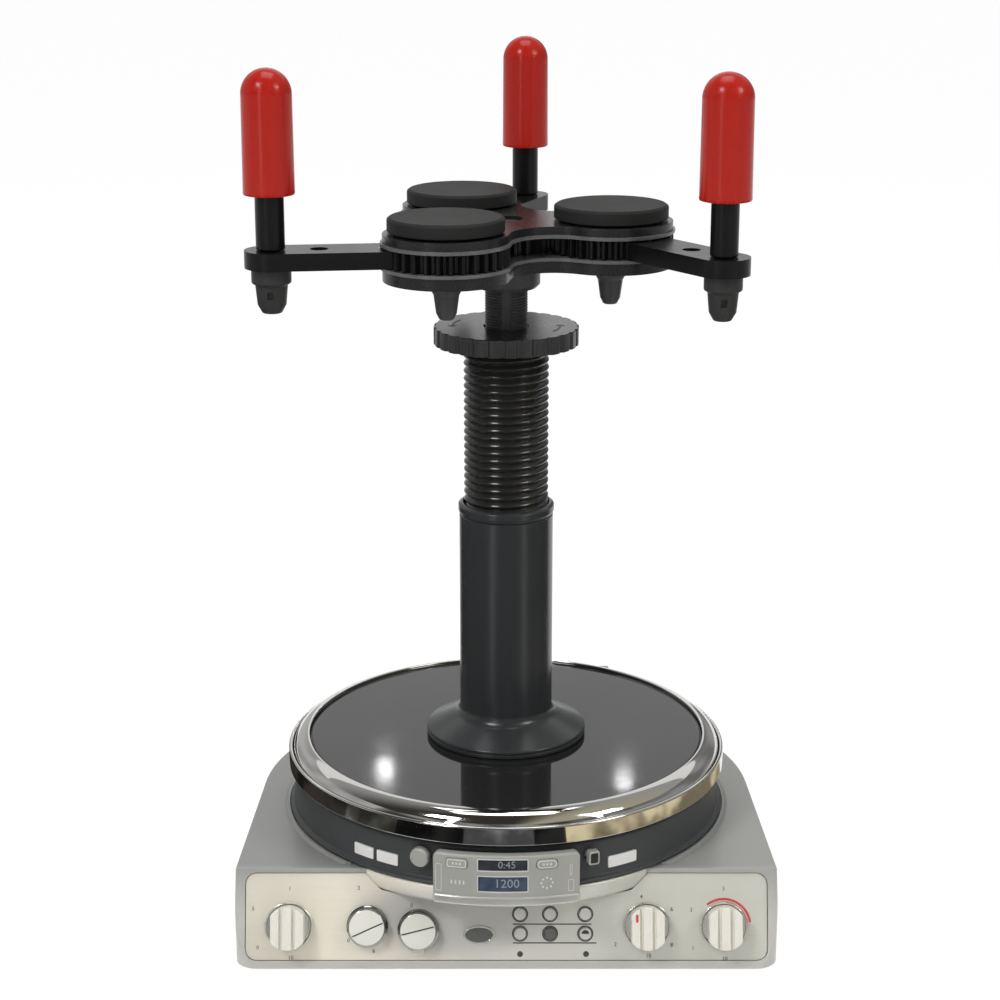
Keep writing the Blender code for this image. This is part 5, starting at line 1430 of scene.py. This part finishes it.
def make_arm(number):
    body = f"arm_{number}"
    lobe, post = middle(f"pad_{number}"), middle(f"post_{number}")
    reach = post.xy - lobe.xy
    length, angle = reach.length, math.atan2(reach.y, reach.x)
    place = Matrix.Translation((lobe.x, lobe.y, 0)) @ Matrix.Rotation(angle, 4, "Z")
    inwards = math.atan2(AXIS.translation.y - lobe.y, AXIS.translation.x - lobe.x) - angle
    module = 2 * lobe_places()[0].xy.length / (HUB_TEETH + SUN_TEETH)
    low, top = heights(body)
    bar_top = top - ARM_STEP
    teeth = gear_outline(HUB_TEETH, inwards + math.pi / HUB_TEETH, module)
    hub = flat([teeth, ring((0, 0), PIVOT_RADIUS + 2 * GAP)], low, top, edge=0.0003)
    half = ARM_WIDTH / 2
    start = PIVOT_RADIUS + half
    outline = [(start, half), (start, -half)] + arc((length, 0), half, -math.pi / 2, math.pi / 2, 32)
    holes = [ring((length, 0), TENON_RADIUS + GAP), ring((length - SPARE_HOLE_PITCH, 0), SPARE_HOLE_RADIUS)]
    bar = flat([outline, *holes], low, bar_top, ARM_EDGE)
    arm = moved(carved(bar, hub, operation="UNION"), place)
    piece(f"{body}_bar", arm, "arm_coat", body, body, slot="black_anodised")
    make_post(number, post, bar_top + GAP)


def make_post(number, place, seat):
    """The post on an arm, its grip and its end nut."""
    body, nodes = f"arm_{number}", [f"post_{number}", f"grip_{number}", f"end_nut_{number}"]
    low, top = heights(nodes[0])
    radius = radius_of(nodes[0])
    profile = [(0, top), (radius - 0.0008, top), (radius, top - 0.0008), (radius, seat + 0.0005),
               (radius - 0.0005, seat), (TENON_RADIUS, seat), (TENON_RADIUS, low), (0, low)]
    post = shifted(turned(profile), place.x, place.y)
    piece(f"post_{number}_rod", post, "arm_coat", body, nodes[0], slot="black_anodised")

    bottom, crown = heights(nodes[1])
    wide, bore, hollow = radius_of(nodes[1]), radius + GAP, top + GAP
    dome = wide - 0.0004
    profile = [(0, crown)] + arc((0, crown - dome), dome, math.pi / 2, 0, 18)[1:]
    profile += [(wide - 0.0001, bottom + 0.0022), (wide, bottom + 0.0012), (wide - 0.0003, bottom + 0.0003),
                (wide - 0.0010, bottom), (radius + 0.0010, bottom), (bore, bottom + 0.0006),
                (bore, hollow), (0, hollow)]
    grip = shifted(turned(profile), place.x, place.y)
    piece(f"grip_{number}_sleeve", grip, "red_vinyl", body, nodes[1], slot="red_vinyl")

    low, top = heights(nodes[2])
    wide, bore, floor = radius_of(nodes[2]), TENON_RADIUS + GAP, low + NUT_FLOOR
    waist, skirt = wide - NUT_WAIST, top - NUT_SKIRT
    profile = [(0, floor), (bore, floor), (bore, top), (wide, top), (wide, skirt), (waist, skirt - 0.0010),
               (waist - 0.0010, low + NUT_TIP), (waist - 0.0035, low), (0, low)]
    window = block(*NUT_WINDOW, 0.0003, waist - 0.0022, waist + 0.002, steps=3)
    nut = carved(turned(profile, ROUND, edge=0.0007), moved(window, radial(0, low + NUT_WINDOW_RISE)))
    nut = shifted(nut, place.x, place.y)
    piece(f"end_nut_{number}_body", nut, "nut_grey", body, nodes[2], slot="charcoal_paint")


# Finishes for the CAD nodes that stay

KEPT_NODES = {
    "foot_rubber": ("foot_1", "foot_2", "foot_3", "foot_4"),
    "inner_steel": ("bottom_plate", "motor", "bearing_plate", "eccentric_crank", "idler_crank_1",
                    "idler_crank_2"),
    "board_green": ("control_board",),
    "black_anodised": ("sun_gear",),
}


def finish_kept_nodes():
    for finish, nodes in KEPT_NODES.items():
        for name in nodes:
            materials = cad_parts[name].data.materials
            materials.clear()
            materials.append(FINISHES[finish])


# Stage

AMBIENT = 0.45
FLOOR_RADIUS = 8.0
FLOOR_GLOW = 1.08
FLOOR_GLOW_SHARE = 0.86
CEILING = 2.9
DARK_TONE = (0.05, 0.045, 0.04)
WARM_TONE = (0.50, 0.46, 0.34)
# Shape, place, target, width and height, and power of each lamp
LIGHTS = {
    "key_light": ("RECTANGLE", (-1.1, -1.3, 1.9), (0, 0, 0.2), (0.5, 0.5), 18),
    "fill_light": ("RECTANGLE", (1.5, -0.9, 1.5), (0, 0, 0.2), (0.5, 0.5), 9),
    "top_light": ("RECTANGLE", (0.0, 0.2, 2.2), (0, 0, 0.1), (1.1, 1.1), 14),
    "strip_left": ("RECTANGLE", (-0.66, -1.20, 0.75), (0, 0, 0.3), (0.08, 1.1), 1.8),
    "strip_right": ("RECTANGLE", (1.02, -0.90, 1.05), (0, 0, 0.3), (0.08, 0.9), 1.2),
    "rear_light_left": ("ELLIPSE", (-0.195, 2.23, 1.082), (-0.067, -0.061, 0.094), (0.03, 0.025), 0.04),
    "rear_light_right": ("ELLIPSE", (0.202, 2.22, 1.096), (0.064, -0.075, 0.094), (0.03, 0.025), 0.027),
}
# Stretches of the floor that the chrome and the column mirror. Angles are in degrees from the front.
FLOOR_RINGS = {
    "near_card": ((0.2, 0.36), (
        (-150, -72, DARK_TONE),
        (-72, -65, (0.24, 0.24, 0.22)),
        (-65, -46, (0.13, 0.13, 0.12)),
        (-46, -17, grey(0.03)),
        (-17, 11, (0.36, 0.36, 0.38)),
        (11, 24, grey(0.03)),
        (24, 126, (1.0, 0.87, 0.57)),
    )),
    "far_card": ((0.365, 1.6), (
        (-150, -39, DARK_TONE),
        (-39, -27, grey(1.9)),
        (-27, 37, DARK_TONE),
        (37, 50, grey(1.6)),
        (50, 126, DARK_TONE),
    )),
}
WALL_RADII = (4.9, 5.0)
# Start, end, dark and light tone of each wall
WALLS = {
    "left": (-166, -70, grey(0.40), grey(0.58)),
    "front": (-70, 70, grey(0.06), grey(0.40)),
    "right": (70, 166, grey(0.20), grey(0.38)),
}


def seen_rays(shade):
    """1 for what the camera sees directly, in a mirror or through glass."""
    camera_ray = shade.node("LightPath", {}, {}, "Is Camera Ray")
    glossy_ray = shade.node("LightPath", {}, {}, "Is Glossy Ray")
    through_ray = shade.node("LightPath", {}, {}, "Is Transmission Ray")
    return shade.maths("MAXIMUM", shade.maths("MAXIMUM", camera_ray, glossy_ray), through_ray)


def staged(name, shape, surface):
    """A floor or card with the shader that surface(shade) makes."""
    mesh = as_mesh(shape, name)
    mesh.materials.append(shaded(bpy.data.materials.new(name), "OutputMaterial", surface))
    made = linked(bpy.data.objects.new(name, mesh))
    return made


def make_floor():
    def surface(shade):
        tone = blended(shade, noise(shade, 300, 2), grey(0.86), grey(0.90))
        paper = shade.node("BsdfDiffuse", {}, {"Color": tone})
        glow = shade.node("Emission", {}, {"Color": (1, 1, 1, 1), "Strength": FLOOR_GLOW})
        return shade.node("MixShader", {}, {0: FLOOR_GLOW_SHARE * seen_rays(shade), 1: paper, 2: glow})

    shape = bmesh.new()
    bmesh.ops.create_circle(shape, cap_ends=True, segments=96, radius=FLOOR_RADIUS)
    staged("floor", shape, surface)


def make_world():
    def surface(shade):
        strength = AMBIENT + seen_rays(shade) * (1 - AMBIENT)
        return shade.node("Background", {}, {"Color": (1, 1, 1, 1), "Strength": strength})

    bpy.context.scene.world = shaded(bpy.data.worlds.new("studio"), "OutputWorld", surface)


def make_lamp(name, shape, place, target, size, power):
    lamp = bpy.data.lights.new(name, "AREA")
    lamp.shape = shape
    lamp.size, lamp.size_y = size
    lamp.energy = power
    made = linked(bpy.data.objects.new(name, lamp))
    made.location = place
    made.rotation_euler = (Vector(target) - Vector(place)).to_track_quat("-Z", "Y").to_euler()
    made.visible_camera = False


def make_card(name, shape, paint):
    """A card round the object that only mirrors see, in the colour that paint(shade) gives."""

    def surface(shade):
        return shade.node("Emission", {}, {"Color": paint(shade), "Strength": 1.0})

    card = staged(name, shape, surface)
    card.visible_camera = False
    card.visible_diffuse = False
    card.visible_transmission = False
    card.visible_shadow = False


def sector(inner, outer, start, end, low, high):
    """A stretch of ring round the object. Angles are in degrees from the front."""
    return flat([band(inner, outer, math.radians(start - 90), math.radians(end - 90), 48)], low, high)


def floor_card(name, start, end, inner, outer, colour):
    """A stretch of floor with darker patches."""

    def paint(shade):
        patch = noise(shade, 9, 3).between(0.42, 0.62)
        return blended(shade, patch, tuple(0.25 * part for part in colour), colour)

    make_card(name, sector(inner, outer, start, end, 0.001, 0.002), paint)


def ceiling_card():
    """A ceiling above the lamps: grey over the object, dark in front and warm at its right."""

    def paint(shade):
        side = along(shade, "X").between(0.2, 1.4)
        front = blended(shade, side, DARK_TONE, WARM_TONE)
        return blended(shade, along(shade, "Y").between(-1.2, 2.4), front, grey(0.42))

    outline = [(-6, -7), (6, -7), (6, 2.4), (-6, 2.4)]
    make_card("ceiling_card", flat([outline], CEILING, CEILING + 0.01), paint)


def wall_card(name, start, end, dark, light):
    """A stretch of wall round the object."""

    def paint(shade):
        return blended(shade, noise(shade, 0.6, 0.0).between(0.3, 0.7), dark, light)

    make_card(name, sector(*WALL_RADII, start, end, 0.0, CEILING), paint)


def make_stage():
    make_floor()
    make_world()
    for name, settings in LIGHTS.items():
        make_lamp(name, *settings)
    for name, (radii, tones) in FLOOR_RINGS.items():
        for number, (start, end, tone) in enumerate(tones):
            floor_card(f"{name}_{number}", start, end, *radii, tone)
    ceiling_card()
    for side, settings in WALLS.items():
        wall_card(f"wall_card_{side}", *settings)
    bpy.context.scene.view_settings.view_transform = "Standard"


# Build

FINISHES = make_finishes()
make_base()
make_panel_print()
make_controls()
make_drum()
make_side_buttons()
make_pod()
make_displays()
make_keys()
make_inlet()
make_platform()
make_column()
make_collar()
make_screw()
make_disc()
make_shaft()
make_plates()
for number in (1, 2, 3):
    make_lobe(number)
    make_arm(number)
finish_kept_nodes()
make_stage()
